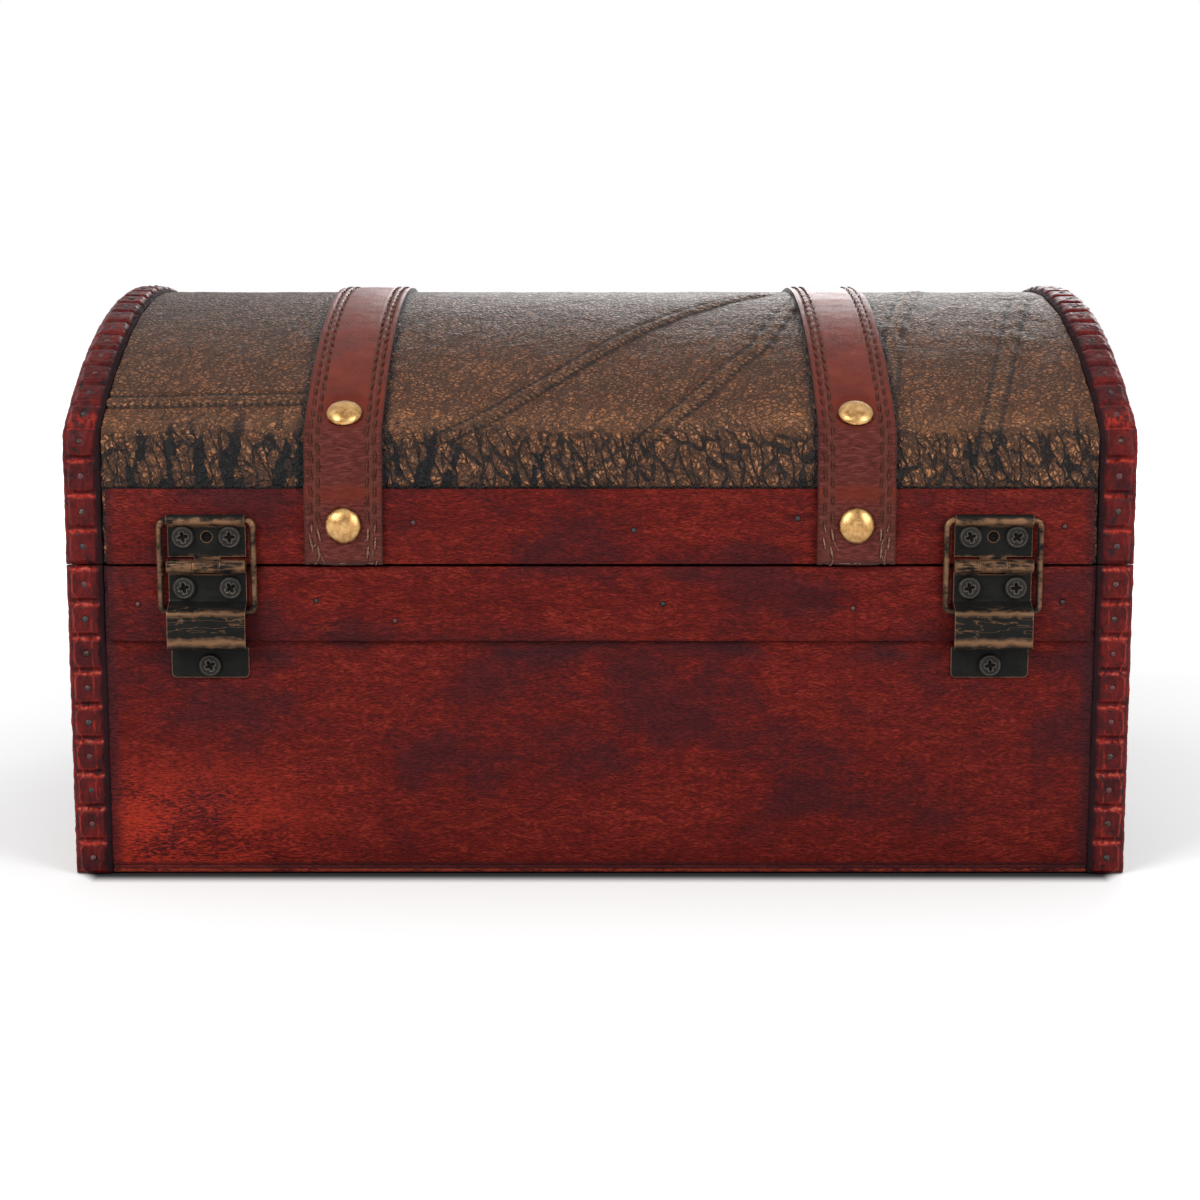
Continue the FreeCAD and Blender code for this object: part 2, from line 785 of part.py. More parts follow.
def lid_leaf(name):
    middle = hinge_middle(name)
    x0, x1 = middle - hinge_width / 2, middle + hinge_width / 2
    left, centre, right = knuckle_spans(middle, hinge_width, middle_knuckle)
    sheet = bent_strip(BACK, x0, x1, ((hinge_sheet / 2, 0), (hinge_sheet / 2, roll_rise)), (), hinge_sheet)
    notches = [hinge_notch(left[0] - overrun, left[1], 1), hinge_notch(right[0], right[1] + overrun, 1)]
    sheet = cut(sheet, notches)
    roll = barrel(BACK, x0, x1, roll_radius, roll_radius, roll_rise)
    knuckle = barrel(BACK, *centre, knuckle_radius, pin_stand, 0)
    start, end = x0 - overrun, x1 + overrun
    bores = [barrel(BACK, start, end, stay_wire_radius + pin_clearance, roll_radius, roll_rise),
             barrel(BACK, start, end, pin_radius + pin_clearance, pin_stand, 0)]
    holes = screw_holes(lid_leaf_seats(name), BACK)
    spare = on_side(BACK, middle, hinge_sheet + overrun, lid_screw_rise)
    holes.append(rod(spare_hole_radius, spare, out(FRONT), hinge_sheet + 2 * overrun))
    return cut(fuse([sheet, roll, knuckle]), bores + holes)


def body_leaf(name):
    """The lower leaf, with the arch that holds the stay's bar and a tab on the board below."""
    middle = hinge_middle(name)
    x0, x1 = middle - hinge_width / 2, middle + hinge_width / 2
    left, centre, right = knuckle_spans(middle, hinge_width, middle_knuckle)
    low, high, tab = hinge_sheet / 2, arch_height - hinge_sheet / 2, hinge_sheet / 2 - rail_thickness
    points = ((low, 0), (low, -arch_start), (high, -arch_crest), (high, -arch_end), (tab, -arch_end),
              (tab, -tab_end))
    bends = (arch_bend, arch_bend, arch_bend, hinge_sheet)
    sheet = bent_strip(BACK, x0, x1, points, bends, hinge_sheet)
    sheet = cut(sheet, [hinge_notch(*centre, -1)])
    foot = parting - tab_end
    sheet = rounded(solid_of(sheet), tab_corner, lambda spot, edge: abs(spot.z - foot) < hinge_sheet / 4
                    and abs(abs(spot.x - middle) - hinge_width / 2) < hinge_sheet / 4)
    knuckles = [barrel(BACK, *span, knuckle_radius, pin_stand, 0) for span in (left, right)]
    bore = barrel(BACK, x0 - overrun, x1 + overrun, pin_radius + pin_clearance, pin_stand, 0)
    return cut(fuse([sheet] + knuckles), [bore] + screw_holes(body_leaf_seats(name), BACK))


def hinge_pin(name):
    middle = hinge_middle(name)
    return barrel(BACK, middle - hinge_width / 2, middle + hinge_width / 2, pin_radius, pin_stand, 0)


def stay_ratio():
    """How far a stay turns on the lid for each degree that the lid turns, over its whole travel."""
    reach = (roll_radius - pin_stand, roll_rise)
    bar = bar_stand - pin_stand
    shut = math.asin((bar - reach[0]) / stay_length)
    opened = math.asin((bar - reach[1]) / stay_length)
    return (shut - opened - math.pi / 2) / (math.pi / 2)


def stay_ring(name):
    """A closed ring of wire: its top bar turns in the roll, its bottom bar slides in the arch."""
    middle = hinge_middle(name)
    half = stay_width / 2
    top = on_side(BACK, middle, roll_radius, roll_rise)
    bottom = on_side(BACK, middle, bar_stand, roll_rise - stay_drop)
    down = (bottom - top).normalize()
    across = V(1, 0, 0)
    corners = [top - across * half, top + across * half, bottom + across * half, bottom - across * half]
    ways = [across, down, across * -1, down * -1]
    pieces = []
    for number, corner in enumerate(corners):
        way, after = ways[number], ways[(number + 1) % 4]
        start = corner + way * stay_bend
        end = corners[(number + 1) % 4] - way * stay_bend
        pieces.append(rod(stay_wire_radius, start, way, start.distanceToPoint(end)))
        centre = end + after * stay_bend
        circle = Part.Circle(end, way, stay_wire_radius).toShape()
        disc = Part.Face(Part.Wire([circle]))
        pieces.append(disc.revolve(centre, way.cross(after), 90))
    return fuse(pieces)


# Hasp on the front


def hasp_plate(rise0, rise1):
    """A flat plate with rounded corners on the front rail, between two heights."""
    a = on_side(FRONT, -hasp_width / 2, 0, rise0)
    b = on_side(FRONT, hasp_width / 2, hasp_sheet, rise1)
    return rounded(block(a.x, b.x, a.y, b.y, a.z, b.z), hasp_plate_corner,
                   lambda spot, edge: abs(spot.y - (a.y + b.y) / 2) < hasp_sheet / 4)


def hasp_spans():
    return knuckle_spans(0.0, hasp_width, tongue_knuckle)


def hasp_bore():
    """The hole along the hasp's axis that its pin fills."""
    radius = hasp_pin_radius + pin_clearance
    return barrel(FRONT, -hasp_width, hasp_width, radius, hasp_pin_stand, hasp_axis_rise)


def hasp_lid_plate():
    low = hasp_axis_rise - hasp_knuckle_radius
    plate = hasp_plate(low, lid_plate_top)
    left, centre, right = hasp_spans()
    room = tongue_width / 2 - tongue_knuckle / 2 + knuckle_gap
    notch_top = parting + hasp_axis_rise + leaf_notch
    notch = block(centre[0] - room, centre[1] + room, rail_face - overrun, rail_face + hasp_pin_stand,
                  parting + low - overrun, notch_top)
    spans = ((left[0] + hasp_plate_corner, left[1]), (right[0], right[1] - hasp_plate_corner))
    knuckles = [barrel(FRONT, *span, hasp_knuckle_radius, hasp_pin_stand, hasp_axis_rise) for span in spans]
    shelf = [block(*span, rail_face, rail_face + hasp_sheet, parting + low, notch_top + overrun)
             for span in spans]
    whole = fuse([cut(plate, [notch])] + shelf + knuckles)
    return cut(whole, [hasp_bore()] + screw_holes(hasp_seats(hasp_screw_rise), FRONT))


def hasp_body_plate():
    plate = hasp_plate(-body_plate_bottom, -body_plate_top)
    hole = rod(eye_stem_radius + eye_stem_clearance, on_side(FRONT, 0, hasp_sheet + overrun, -eye_drop),
               out(BACK), hasp_sheet + 2 * overrun)
    return cut(plate, [hole] + screw_holes(hasp_seats(-hasp_screw_rise), FRONT))


def hasp_tongue():
    """The slotted tongue, folded up against the lid plate, its free end curled towards the lid."""
    span = hasp_spans()[1]
    stand = hasp_pin_stand - tongue_lean
    points = ((stand, hasp_axis_rise), (stand, hasp_axis_rise + tongue_length - tongue_tip),
              (stand - tongue_curl, hasp_axis_rise + tongue_length))
    x0, x1 = -tongue_width / 2, tongue_width / 2
    sheet = bent_strip(FRONT, x0, x1, points, (tongue_bend,), tongue_sheet)
    tip = parting + hasp_axis_rise + tongue_length
    sheet = rounded(solid_of(sheet), tongue_corner, lambda spot, edge: spot.z > tip - tongue_sheet
                    and abs(abs(spot.x) - x1) < tongue_sheet / 4)
    axis_height = parting + hasp_axis_rise
    inside, outside = rail_face - overrun, rail_face + hasp_pin_stand + overrun
    gaps = [block(x0 - overrun, span[0], inside, outside, axis_height - overrun, axis_height + leaf_notch),
            block(span[1], x1 + overrun, inside, outside, axis_height - overrun, axis_height + leaf_notch)]
    end_radius = slot_width / 2
    low, high = slot_start + end_radius, slot_end - end_radius
    slot = [block(-end_radius, end_radius, inside, outside, axis_height + low, axis_height + high)]
    for rise in (low, high):
        slot.append(rod(end_radius, on_side(FRONT, 0, -overrun, hasp_axis_rise + rise), out(FRONT),
                        hasp_pin_stand + 2 * overrun))
    knuckle = barrel(FRONT, *span, hasp_knuckle_radius, hasp_pin_stand, hasp_axis_rise)
    return cut(fuse([cut(cut(sheet, gaps), slot), knuckle]), [hasp_bore()])


def hasp_pin():
    half = hasp_width / 2 - hasp_plate_corner
    return barrel(FRONT, -half, half, hasp_pin_radius, hasp_pin_stand, hasp_axis_rise)


def turning_eye():
    """An eye on a stem that turns in the body plate, held by a foot behind it."""
    centre = on_side(FRONT, 0, eye_reach, -eye_drop)
    disc = rod(eye_radius, centre - V(eye_thickness / 2, 0, 0), V(1, 0, 0), eye_thickness)
    disc = rounded(disc, eye_round, lambda spot, edge: edge.Length > eye_thickness * 2)
    foot_top = on_side(FRONT, 0, -eye_foot_gap, -eye_drop)
    foot = rod(eye_foot_radius, foot_top, out(BACK), eye_foot)
    stem_run = eye_reach - eye_radius / 2 + eye_foot_gap + eye_foot / 2
    stem = rod(eye_stem_radius, foot_top + out(BACK) * (eye_foot / 2), out(FRONT), stem_run)
    collar = rod(eye_collar_radius, on_side(FRONT, 0, hasp_sheet + eye_stem_clearance, -eye_drop), out(FRONT),
                 eye_collar)
    hole = rod(eye_hole_radius, centre - V(eye_thickness, 0, 0), V(1, 0, 0), 2 * eye_thickness)
    return cut(fuse([disc, stem, foot, collar]), [hole])


# Groups of fasteners


def group(shape, seats, side=None):
    """Copies of one fastener; where no side is given, each seat brings its own direction."""
    copies = []
    for number, seat in enumerate(seats):
        place, direction = (seat, out(side)) if side else seat
        copies.append(put(shape, place, direction, fastener_turn * number))
    return Part.makeCompound(copies)


def brad_group(brads_of):
    seats = [(seat, out(side)) for side in (BACK, FRONT) for seat in brads_of(side)]
    return group(nail(brad_radius, brad_length), seats)


def nail_group(nails_of):
    seats = [seat for end in ENDS.values() for seat in nails_of(end)]
    return group(nail(nail_radius, nail_length), seats)


def all_parts():
    parts = {"body_floor": floor_board(), "lid_top": lid_top(), "lid_leather": lid_leather()}
    for word, side in (("back", BACK), ("front", FRONT)):
        parts[f"body_{word}_board"] = body_board(side)
        parts[f"lid_{word}_board"] = lid_board(side)
        parts[f"body_{word}_rail"] = body_rail(side)
        parts[f"lid_{word}_rail"] = lid_rail(side)
    for name, end in ENDS.items():
        parts[f"body_{name}_end_board"] = body_end_board(end)
        parts[f"lid_{name}_end_board"] = lid_end_board(end)
        parts[f"lid_{name}_moulding"] = lid_moulding(end)
        parts[f"body_{name}_back_moulding"] = body_moulding(end, BACK)
        parts[f"body_{name}_front_moulding"] = body_moulding(end, FRONT)
        parts[f"strap_{name}"] = strap(name)
        parts[f"strap_{name}_tacks"] = group(tack(), tack_seats(strap_middle(name)))
        parts[f"hinge_{name}_lid_leaf"] = lid_leaf(name)
        parts[f"hinge_{name}_body_leaf"] = body_leaf(name)
        parts[f"hinge_{name}_pin"] = hinge_pin(name)
        parts[f"stay_{name}_ring"] = stay_ring(name)
        parts[f"hinge_{name}_lid_screws"] = group(screw(), lid_leaf_seats(name), BACK)
        parts[f"hinge_{name}_body_screws"] = group(screw(), body_leaf_seats(name), BACK)
    parts["hasp_lid_plate"] = hasp_lid_plate()
    parts["hasp_body_plate"] = hasp_body_plate()
    parts["hasp_tongue"] = hasp_tongue()
    parts["hasp_pin"] = hasp_pin()
    parts["hasp_turning_eye"] = turning_eye()
    parts["hasp_lid_screws"] = group(screw(), hasp_seats(hasp_screw_rise), FRONT)
    parts["hasp_body_screws"] = group(screw(), hasp_seats(-hasp_screw_rise), FRONT)
    parts["body_moulding_nails"] = nail_group(body_nail_seats)
    parts["lid_moulding_nails"] = nail_group(lid_nail_seats)
    parts["body_rail_brads"] = brad_group(body_brads)
    parts["lid_rail_brads"] = brad_group(lid_brads)
    return parts


def main():
    os.makedirs("parts", exist_ok=True)
    for name, shape in all_parts().items():
        shape = solid_of(shape)
        shape.exportStep(f"parts/{name}.step")
        print(name, "solids", len(shape.Solids), "valid", shape.isValid(), "mm3", round(shape.Volume, 1))
    print("lid axis y", round(-rail_face - pin_stand, 4), "z", round(parting, 4))
    print("stay axis y", round(-rail_face - roll_radius, 4), "z", round(parting + roll_rise, 4))
    print("tongue axis y", round(rail_face + hasp_pin_stand, 4), "z", round(parting + hasp_axis_rise, 4))
    print("eye axis z", round(parting - eye_drop, 4), "eye hole y", round(rail_face + eye_reach, 4))
    print("stay turn per lid turn", round(stay_ratio(), 5))


main()
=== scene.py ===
"""Looks of a small wooden chest with a barrel lid under leather: red stained boards, carved end
mouldings, two leather straps, stay hinges and a hasp. Metres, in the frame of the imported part."""

import math
import random

import bmesh
import bpy
import numpy as np
from mathutils import Matrix, Vector


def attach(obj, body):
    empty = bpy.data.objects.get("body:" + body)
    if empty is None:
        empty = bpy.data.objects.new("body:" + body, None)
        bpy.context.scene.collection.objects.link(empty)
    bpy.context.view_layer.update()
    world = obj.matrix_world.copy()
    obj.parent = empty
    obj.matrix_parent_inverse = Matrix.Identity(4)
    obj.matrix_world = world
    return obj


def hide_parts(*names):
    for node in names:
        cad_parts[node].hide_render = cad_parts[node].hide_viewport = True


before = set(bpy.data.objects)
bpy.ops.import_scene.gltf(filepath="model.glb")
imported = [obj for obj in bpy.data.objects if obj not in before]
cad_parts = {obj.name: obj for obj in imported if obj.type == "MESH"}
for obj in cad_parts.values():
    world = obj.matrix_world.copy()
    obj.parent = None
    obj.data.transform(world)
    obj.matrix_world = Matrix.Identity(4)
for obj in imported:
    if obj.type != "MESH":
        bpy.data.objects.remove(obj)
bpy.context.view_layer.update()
MM = 0.001
ACROSS = Vector((1, 0, 0))
BACK = -1
FRONT = 1

# Sizes of the chest, in millimetres. Heights are over the ground, faces and distances are from the
# middle, and the leather's outer side lies the cover's depth inside the mouldings' outline
HALF_LENGTH = 140.0
HALF_DEPTH = 105.0
INNER_HALF_LENGTH = 130.2
BODY_HEIGHT = 82.8
LID_BOTTOM = 83.6
PARTING = 83.2
RAIL_HEIGHT = 19.6
RAIL_FACE = 104.6
FACE = 103.2
SHOULDER_HEIGHT = 118.4
CROWN_RISE = 35.7
SHOULDER_RADIUS = 6.0
COVER = 1.8
LEATHER_THICK = 0.8
STRAP_THICK = 1.3
STRAP_WIDTH = 20.4
STRAP_DISTANCE = 66.9
STRAP_RAMP = 2.6
HINGE_DISTANCE = 102.7
NAIL_LINE = 135.1
NAIL_RADIUS = 0.86
TACK_RADIUS = 4.8
SCREW_RADIUS = 2.9
SCREW_HEAD = 1.4
THREAD_RADIUS = 0.085

# Carved blocks up one moulding of the body, and over the lid from parting to parting
BODY_BLOCKS = 9
LID_BLOCKS = 32

# Fineness of the carving, how far its ends reach into the parting and over what height they do,
# and how near points are that touch, in millimetres
CARVING_VOXEL = 0.4
PARTING_REACH = 0.28
PARTING_BLEND = 1.5
TOUCHING = 0.001

# The lid's outline: a shoulder bend between the upright side and the crown's arc
CREST = SHOULDER_HEIGHT + CROWN_RISE
CROWN_RADIUS = (HALF_DEPTH**2 + CROWN_RISE**2) / (2 * CROWN_RISE)
CROWN_CENTRE = CREST - CROWN_RADIUS
BEND_Y = HALF_DEPTH - SHOULDER_RADIUS
BEND_Z = CROWN_CENTRE + math.sqrt((CROWN_RADIUS - SHOULDER_RADIUS) ** 2 - BEND_Y**2)
BEND_TURN = math.atan2(BEND_Z - CROWN_CENTRE, BEND_Y)
SIDE_RUN = BEND_Z - LID_BOTTOM
BEND_RUN = SHOULDER_RADIUS * BEND_TURN
CROWN_RUN = CROWN_RADIUS * (math.pi - 2 * BEND_TURN)
WHOLE_RUN = 2 * SIDE_RUN + 2 * BEND_RUN + CROWN_RUN


def station(run, inset):
    """Point and outward direction on the lid's outline, by the run from the back parting."""
    back = run <= WHOLE_RUN / 2
    way = run if back else WHOLE_RUN - run
    if way <= SIDE_RUN:
        y, z, lean = HALF_DEPTH - inset, LID_BOTTOM + way, 0.0
    elif way <= SIDE_RUN + BEND_RUN:
        lean = (way - SIDE_RUN) / SHOULDER_RADIUS
        y = BEND_Y + (SHOULDER_RADIUS - inset) * math.cos(lean)
        z = BEND_Z + (SHOULDER_RADIUS - inset) * math.sin(lean)
    else:
        lean = BEND_TURN + (way - SIDE_RUN - BEND_RUN) / CROWN_RADIUS
        y = (CROWN_RADIUS - inset) * math.cos(lean)
        z = CROWN_CENTRE + (CROWN_RADIUS - inset) * math.sin(lean)
    side = BACK if back else FRONT
    return Vector((0, side * y, z)), Vector((0, side * math.cos(lean), math.sin(lean)))


def lid_place(co):
    """Run and inset, in millimetres, of a point on the lid given in metres."""
    y, z = abs(co.y) / MM, co.z / MM
    turn = math.atan2(z - CROWN_CENTRE, y)
    bend = math.atan2(z - BEND_Z, y - BEND_Y)
    if turn >= BEND_TURN:
        run = SIDE_RUN + BEND_RUN + (turn - BEND_TURN) * CROWN_RADIUS
        inset = CROWN_RADIUS - math.hypot(y, z - CROWN_CENTRE)
    elif z > BEND_Z and y > BEND_Y:
        run = SIDE_RUN + bend * SHOULDER_RADIUS
        inset = SHOULDER_RADIUS - math.hypot(y - BEND_Y, z - BEND_Z)
    else:
        run, inset = z - LID_BOTTOM, HALF_DEPTH - y
    return (run if co.y < 0 else WHOLE_RUN - run), inset


def smooth_step(values, low, high):
    """0 at low, 1 at high and smooth between them; high may be the smaller."""
    t = np.clip((values - low) / (high - low), 0, 1)
    return t * t * (3 - 2 * t)


# Work in edit mode and with modifiers


def clear():
    """Leaves edit mode and selects nothing."""
    if bpy.context.object and bpy.context.object.mode != "OBJECT":
        bpy.ops.object.mode_set(mode="OBJECT")
    bpy.ops.object.select_all(action="DESELECT")


def take(piece):
    """Makes a piece the only one selected, and the active one."""
    clear()
    piece.select_set(True)
    bpy.context.view_layer.objects.active = piece
    return piece


def edit(piece, mode="FACE"):
    """Enters edit mode on a piece, to work on its faces, edges or points."""
    take(piece)
    bpy.ops.object.mode_set(mode="EDIT")
    bpy.ops.mesh.select_mode(type=mode)


def extrude(by):
    """Draws the selected part of the mesh out by a vector in metres."""
    bpy.ops.mesh.extrude_region_move(TRANSFORM_OT_translate={"value": by})


def pick(piece, kind, chosen):
    """In edit mode, selects the verts, edges or faces that a test chooses, and no others."""
    bpy.ops.mesh.select_all(action="DESELECT")
    shape = bmesh.from_edit_mesh(piece.data)
    for element in getattr(shape, kind):
        element.select = chosen(element)
    if kind == "verts":
        shape.select_flush(True)
    bmesh.update_edit_mesh(piece.data)


def settle(piece):
    """Puts a piece's place into its mesh."""
    take(piece)
    bpy.ops.object.transform_apply(location=True, rotation=True, scale=True)
    return piece


def modify(piece, kind, **settings):
    """Adds a modifier, sets it and applies it."""
    take(piece)
    modifier = piece.modifiers.new(kind.title(), kind)
    for key, value in settings.items():
        setattr(modifier, key, value)
    bpy.ops.object.modifier_apply(modifier=modifier.name)
    return piece


def press(piece, depth, shares, **settings):
    """Moves a surface along its normals by a depth, in millimetres, times a share for each point."""
    group = piece.vertex_groups.new(name="press")
    for number, share in enumerate(shares):
        if share > 0.002:
            group.add([number], min(1.0, float(share)), "REPLACE")
    settings.setdefault("mid_level", 0.0)
    modify(piece, "DISPLACE", strength=depth * MM, vertex_group="press", **settings)
    piece.vertex_groups.remove(piece.vertex_groups["press"])
    return piece


def rough_up(piece, depth, size, shares=None):
    """Uneven relief of a size and a depth, in millimetres."""
    texture = bpy.data.textures.new(f"{piece.name}_relief", "CLOUDS")
    texture.noise_scale = size * MM
    settings = {"texture": texture, "texture_coords": "LOCAL", "mid_level": 0.5}
    if shares is None:
        return modify(piece, "DISPLACE", strength=depth * MM, **settings)
    return press(piece, depth, shares, **settings)


def smooth(piece, angle=60):
    """Shades a piece smooth, except over edges that bend by more than an angle in degrees."""
    take(piece)
    bpy.ops.object.shade_smooth_by_angle(angle=math.radians(angle), keep_sharp_edges=False)
    return piece


def placed(name, data):
    """A new object in the scene."""
    made = bpy.data.objects.new(name, data)
    bpy.context.scene.collection.objects.link(made)
    return made


def copy_of(node, name):
    """A merged copy of a CAD node's mesh, with its flat faces made whole."""
    piece = placed(name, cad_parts[node].data.copy())
    edit(piece, "VERT")
    bpy.ops.mesh.select_all(action="SELECT")
    bpy.ops.mesh.remove_doubles(threshold=0.02 * MM)
    bpy.ops.mesh.dissolve_limited(angle_limit=math.radians(0.6))
    bpy.ops.object.mode_set(mode="OBJECT")
    piece.data.materials.clear()
    return piece


def join(pieces, name):
    """Joins pieces into the first of them, which gets a new name."""
    clear()
    for piece in pieces:
        piece.select_set(True)
    bpy.context.view_layer.objects.active = pieces[0]
    bpy.ops.object.join()
    pieces[0].name = name
    pieces[0].data.name = name
    return pieces[0]


def copies(pattern, places, name):
    """Copies of a small pattern at places given as matrices, joined in one piece."""
    made = []
    for place in places:
        made.append(placed(name, pattern.data.copy()))
        made[-1].data.transform(place)
    bpy.data.objects.remove(pattern)
    return join(made, name)


def facing(point, direction, turn=0.0):
    """A place in millimetres whose +Z points in a direction."""
    aim = direction.to_track_quat("Z", "Y").to_matrix().to_4x4()
    return Matrix.Translation(point * MM) @ aim @ Matrix.Rotation(turn, 4, "Z")


def keep(piece, name, values):
    """Stores a number or a vector for each point of a piece, for its finish to read."""
    values = np.array(values, np.float32)
    kind, field = ("FLOAT_VECTOR", "vector") if values.ndim == 2 else ("FLOAT", "value")
    piece.data.attributes.new(name, kind, "POINT").data.foreach_set(field, values.ravel())


def coat(piece, finish):
    """Gives a piece, or a CAD node that stays as it is, one finish all over."""
    piece.data.materials.clear()
    piece.data.materials.append(finish)


def dress(piece, body, finish, slot, *nodes):
    """Gives a piece its finish and its body, and hides the CAD nodes that it stands for; the slot is not
    used.
    """
    coat(piece, finish)
    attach(piece, body)
    if nodes:
        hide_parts(*nodes)
    return piece


# Finishes


class Tone:
    """A shader socket; an operator between two of them, or one and a number, adds its Math node."""

    def __init__(self, nodes, socket):
        self.nodes = nodes
        self.socket = socket

    def math(self, operation, *values):
        sockets = dict(enumerate(values))
        return self.nodes.node("ShaderNodeMath", {"operation": operation}, sockets)

    def __add__(self, other):
        return self.math("ADD", self, other)

    def __sub__(self, other):
        return self.math("SUBTRACT", self, other)

    def __rsub__(self, other):
        return self.math("SUBTRACT", other, self)

    def __mul__(self, other):
        return self.math("MULTIPLY", self, other)

    def __truediv__(self, other):
        return self.math("DIVIDE", self, other)

    def __mod__(self, other):
        return self.math("FLOORED_MODULO", self, other)

    def __abs__(self):
        return self.math("ABSOLUTE", self)

    __radd__ = __add__
    __rmul__ = __mul__

    def most(self, other):
        return self.math("MAXIMUM", self, other)

    def least(self, other):
        return self.math("MINIMUM", self, other)

    def step(self, low, high):
        """0 at low, 1 at high and smooth between them; high may be the smaller."""
        sockets = {"Value": self, "From Min": low, "From Max": high}
        return self.nodes.node("ShaderNodeMapRange", {"interpolation_type": "SMOOTHSTEP"}, sockets)

    def within(self, low, high, blur):
        """1 between low and high and 0 outside, with blurred ends."""
        return self.step(low - blur, low + blur) * self.step(high + blur, high - blur)


class Nodes:
    """A node tree, to which nodes are added by their type, settings and sockets."""

    def __init__(self, tree):
        self.tree = tree

    def join(self, socket, value):
        if isinstance(value, Tone):
            self.tree.links.new(value.socket, socket)
        else:
            socket.default_value = value

    def node(self, kind, settings=None, sockets=None, output=0):
        made = self.tree.nodes.new(kind)
        for key, value in (settings or {}).items():
            if key == "stops":
                for number, (place, colour) in enumerate(value):
                    points = made.color_ramp.elements
                    stop = points[number] if number < 2 else points.new(place)
                    stop.position = place
                    stop.color = (*colour, 1)
            else:
                setattr(made, key, value)
        for key, value in (sockets or {}).items():
            self.join(made.inputs[key], value)
        return Tone(self, made.outputs[output])


class Finish(Nodes):
    """A material that reads the object coordinates, or a flat map of the piece, in millimetres."""

    def __init__(self, name, **even):
        self.material = bpy.data.materials.new(name)
        self.material.use_nodes = True
        super().__init__(self.material.node_tree)
        self.shader = self.tree.nodes["Principled BSDF"]
        self.wire(**even)

    def wire(self, **values):
        """Joins tones, or sets values that are even all over, by the names of the shader's sockets."""
        for key, value in values.items():
            self.join(self.shader.inputs[key.replace("_", " ")], value)

    def place(self, stretch=(1, 1, 1), shift=(0, 0, 0)):
        spot = self.node("ShaderNodeTexCoord", output="Object")
        scale = [share / MM for share in stretch]
        return self.node("ShaderNodeMapping", sockets={"Vector": spot, "Location": shift, "Scale": scale})

    def flat(self, layer):
        """A UV map as a vector in millimetres."""
        spot = self.node("ShaderNodeUVMap", {"uv_map": layer})
        return self.node("ShaderNodeMapping", sockets={"Vector": spot, "Scale": (1 / MM, 1 / MM, 1)})

    def stored(self, name, output="Vector"):
        """What a piece keeps for each of its points under a name."""
        return self.node("ShaderNodeAttribute", {"attribute_name": name}, output=output)

    def axes(self, vector):
        split = self.node("ShaderNodeSeparateXYZ", sockets={0: vector}).socket.node
        return [Tone(self, socket) for socket in split.outputs]

    def vector(self, x, y, z=0.0):
        return self.node("ShaderNodeCombineXYZ", sockets={0: x, 1: y, 2: z})

    def noise(self, vector, size, detail=2.0, rough=0.5, warp=0.0):
        sockets = {"Vector": vector, "Scale": 1 / size, "Detail": detail, "Roughness": rough,
                   "Distortion": warp}
        return self.node("ShaderNodeTexNoise", sockets=sockets)

    def lines(self, vector, size, wide, **more):
        """Thin winding lines, 1 on a line, where a noise passes its middle value."""
        return abs(self.noise(vector, size, **more) - 0.5).step(wide, 0.0)

    def cells(self, vector, size, feature="F1"):
        sockets = {"Vector": vector, "Scale": 1 / size}
        return self.node("ShaderNodeTexVoronoi", {"feature": feature}, sockets)

    def mix(self, a, b, share):
        colours = [(*c, 1) if isinstance(c, tuple) else c for c in (a, b)]
        settings = {"data_type": "RGBA", "clamp_factor": True}
        return self.node("ShaderNodeMix", settings, {0: share, 6: colours[0], 7: colours[1]}, 2)

    def layers(self, colour, *coats):
        """A colour under coats, each of them a colour and the share of it that shows."""
        for coat, share in coats:
            colour = self.mix(colour, coat, share)
        return colour

    def ramp(self, share, *stops):
        return self.node("ShaderNodeValToRGB", {"stops": stops}, {0: share})

    def wear(self, radius, low, high):
        """1 on an edge that stands out, from the shader's own rounding of it."""
        round_ = self.node("ShaderNodeBevel", {"samples": 6}, {"Radius": radius * MM})
        true = self.node("ShaderNodeNewGeometry", output="Normal")
        same = self.node("ShaderNodeVectorMath", {"operation": "DOT_PRODUCT"}, {0: round_, 1: true}, 1)
        return (1 - same).step(low, high)

    def finish(self, colour, height, depth, roughness, metallic=None):
        """Joins the shader's sockets; the height is 0 to 1 for a depth in millimetres."""
        sockets = {"Height": height, "Distance": depth * MM, "Strength": 1.0}
        bump = self.node("ShaderNodeBump", sockets=sockets)
        self.wire(Base_Color=colour, Roughness=roughness, Normal=bump)
        if metallic is not None:
            self.wire(Metallic=metallic)
        return self.material


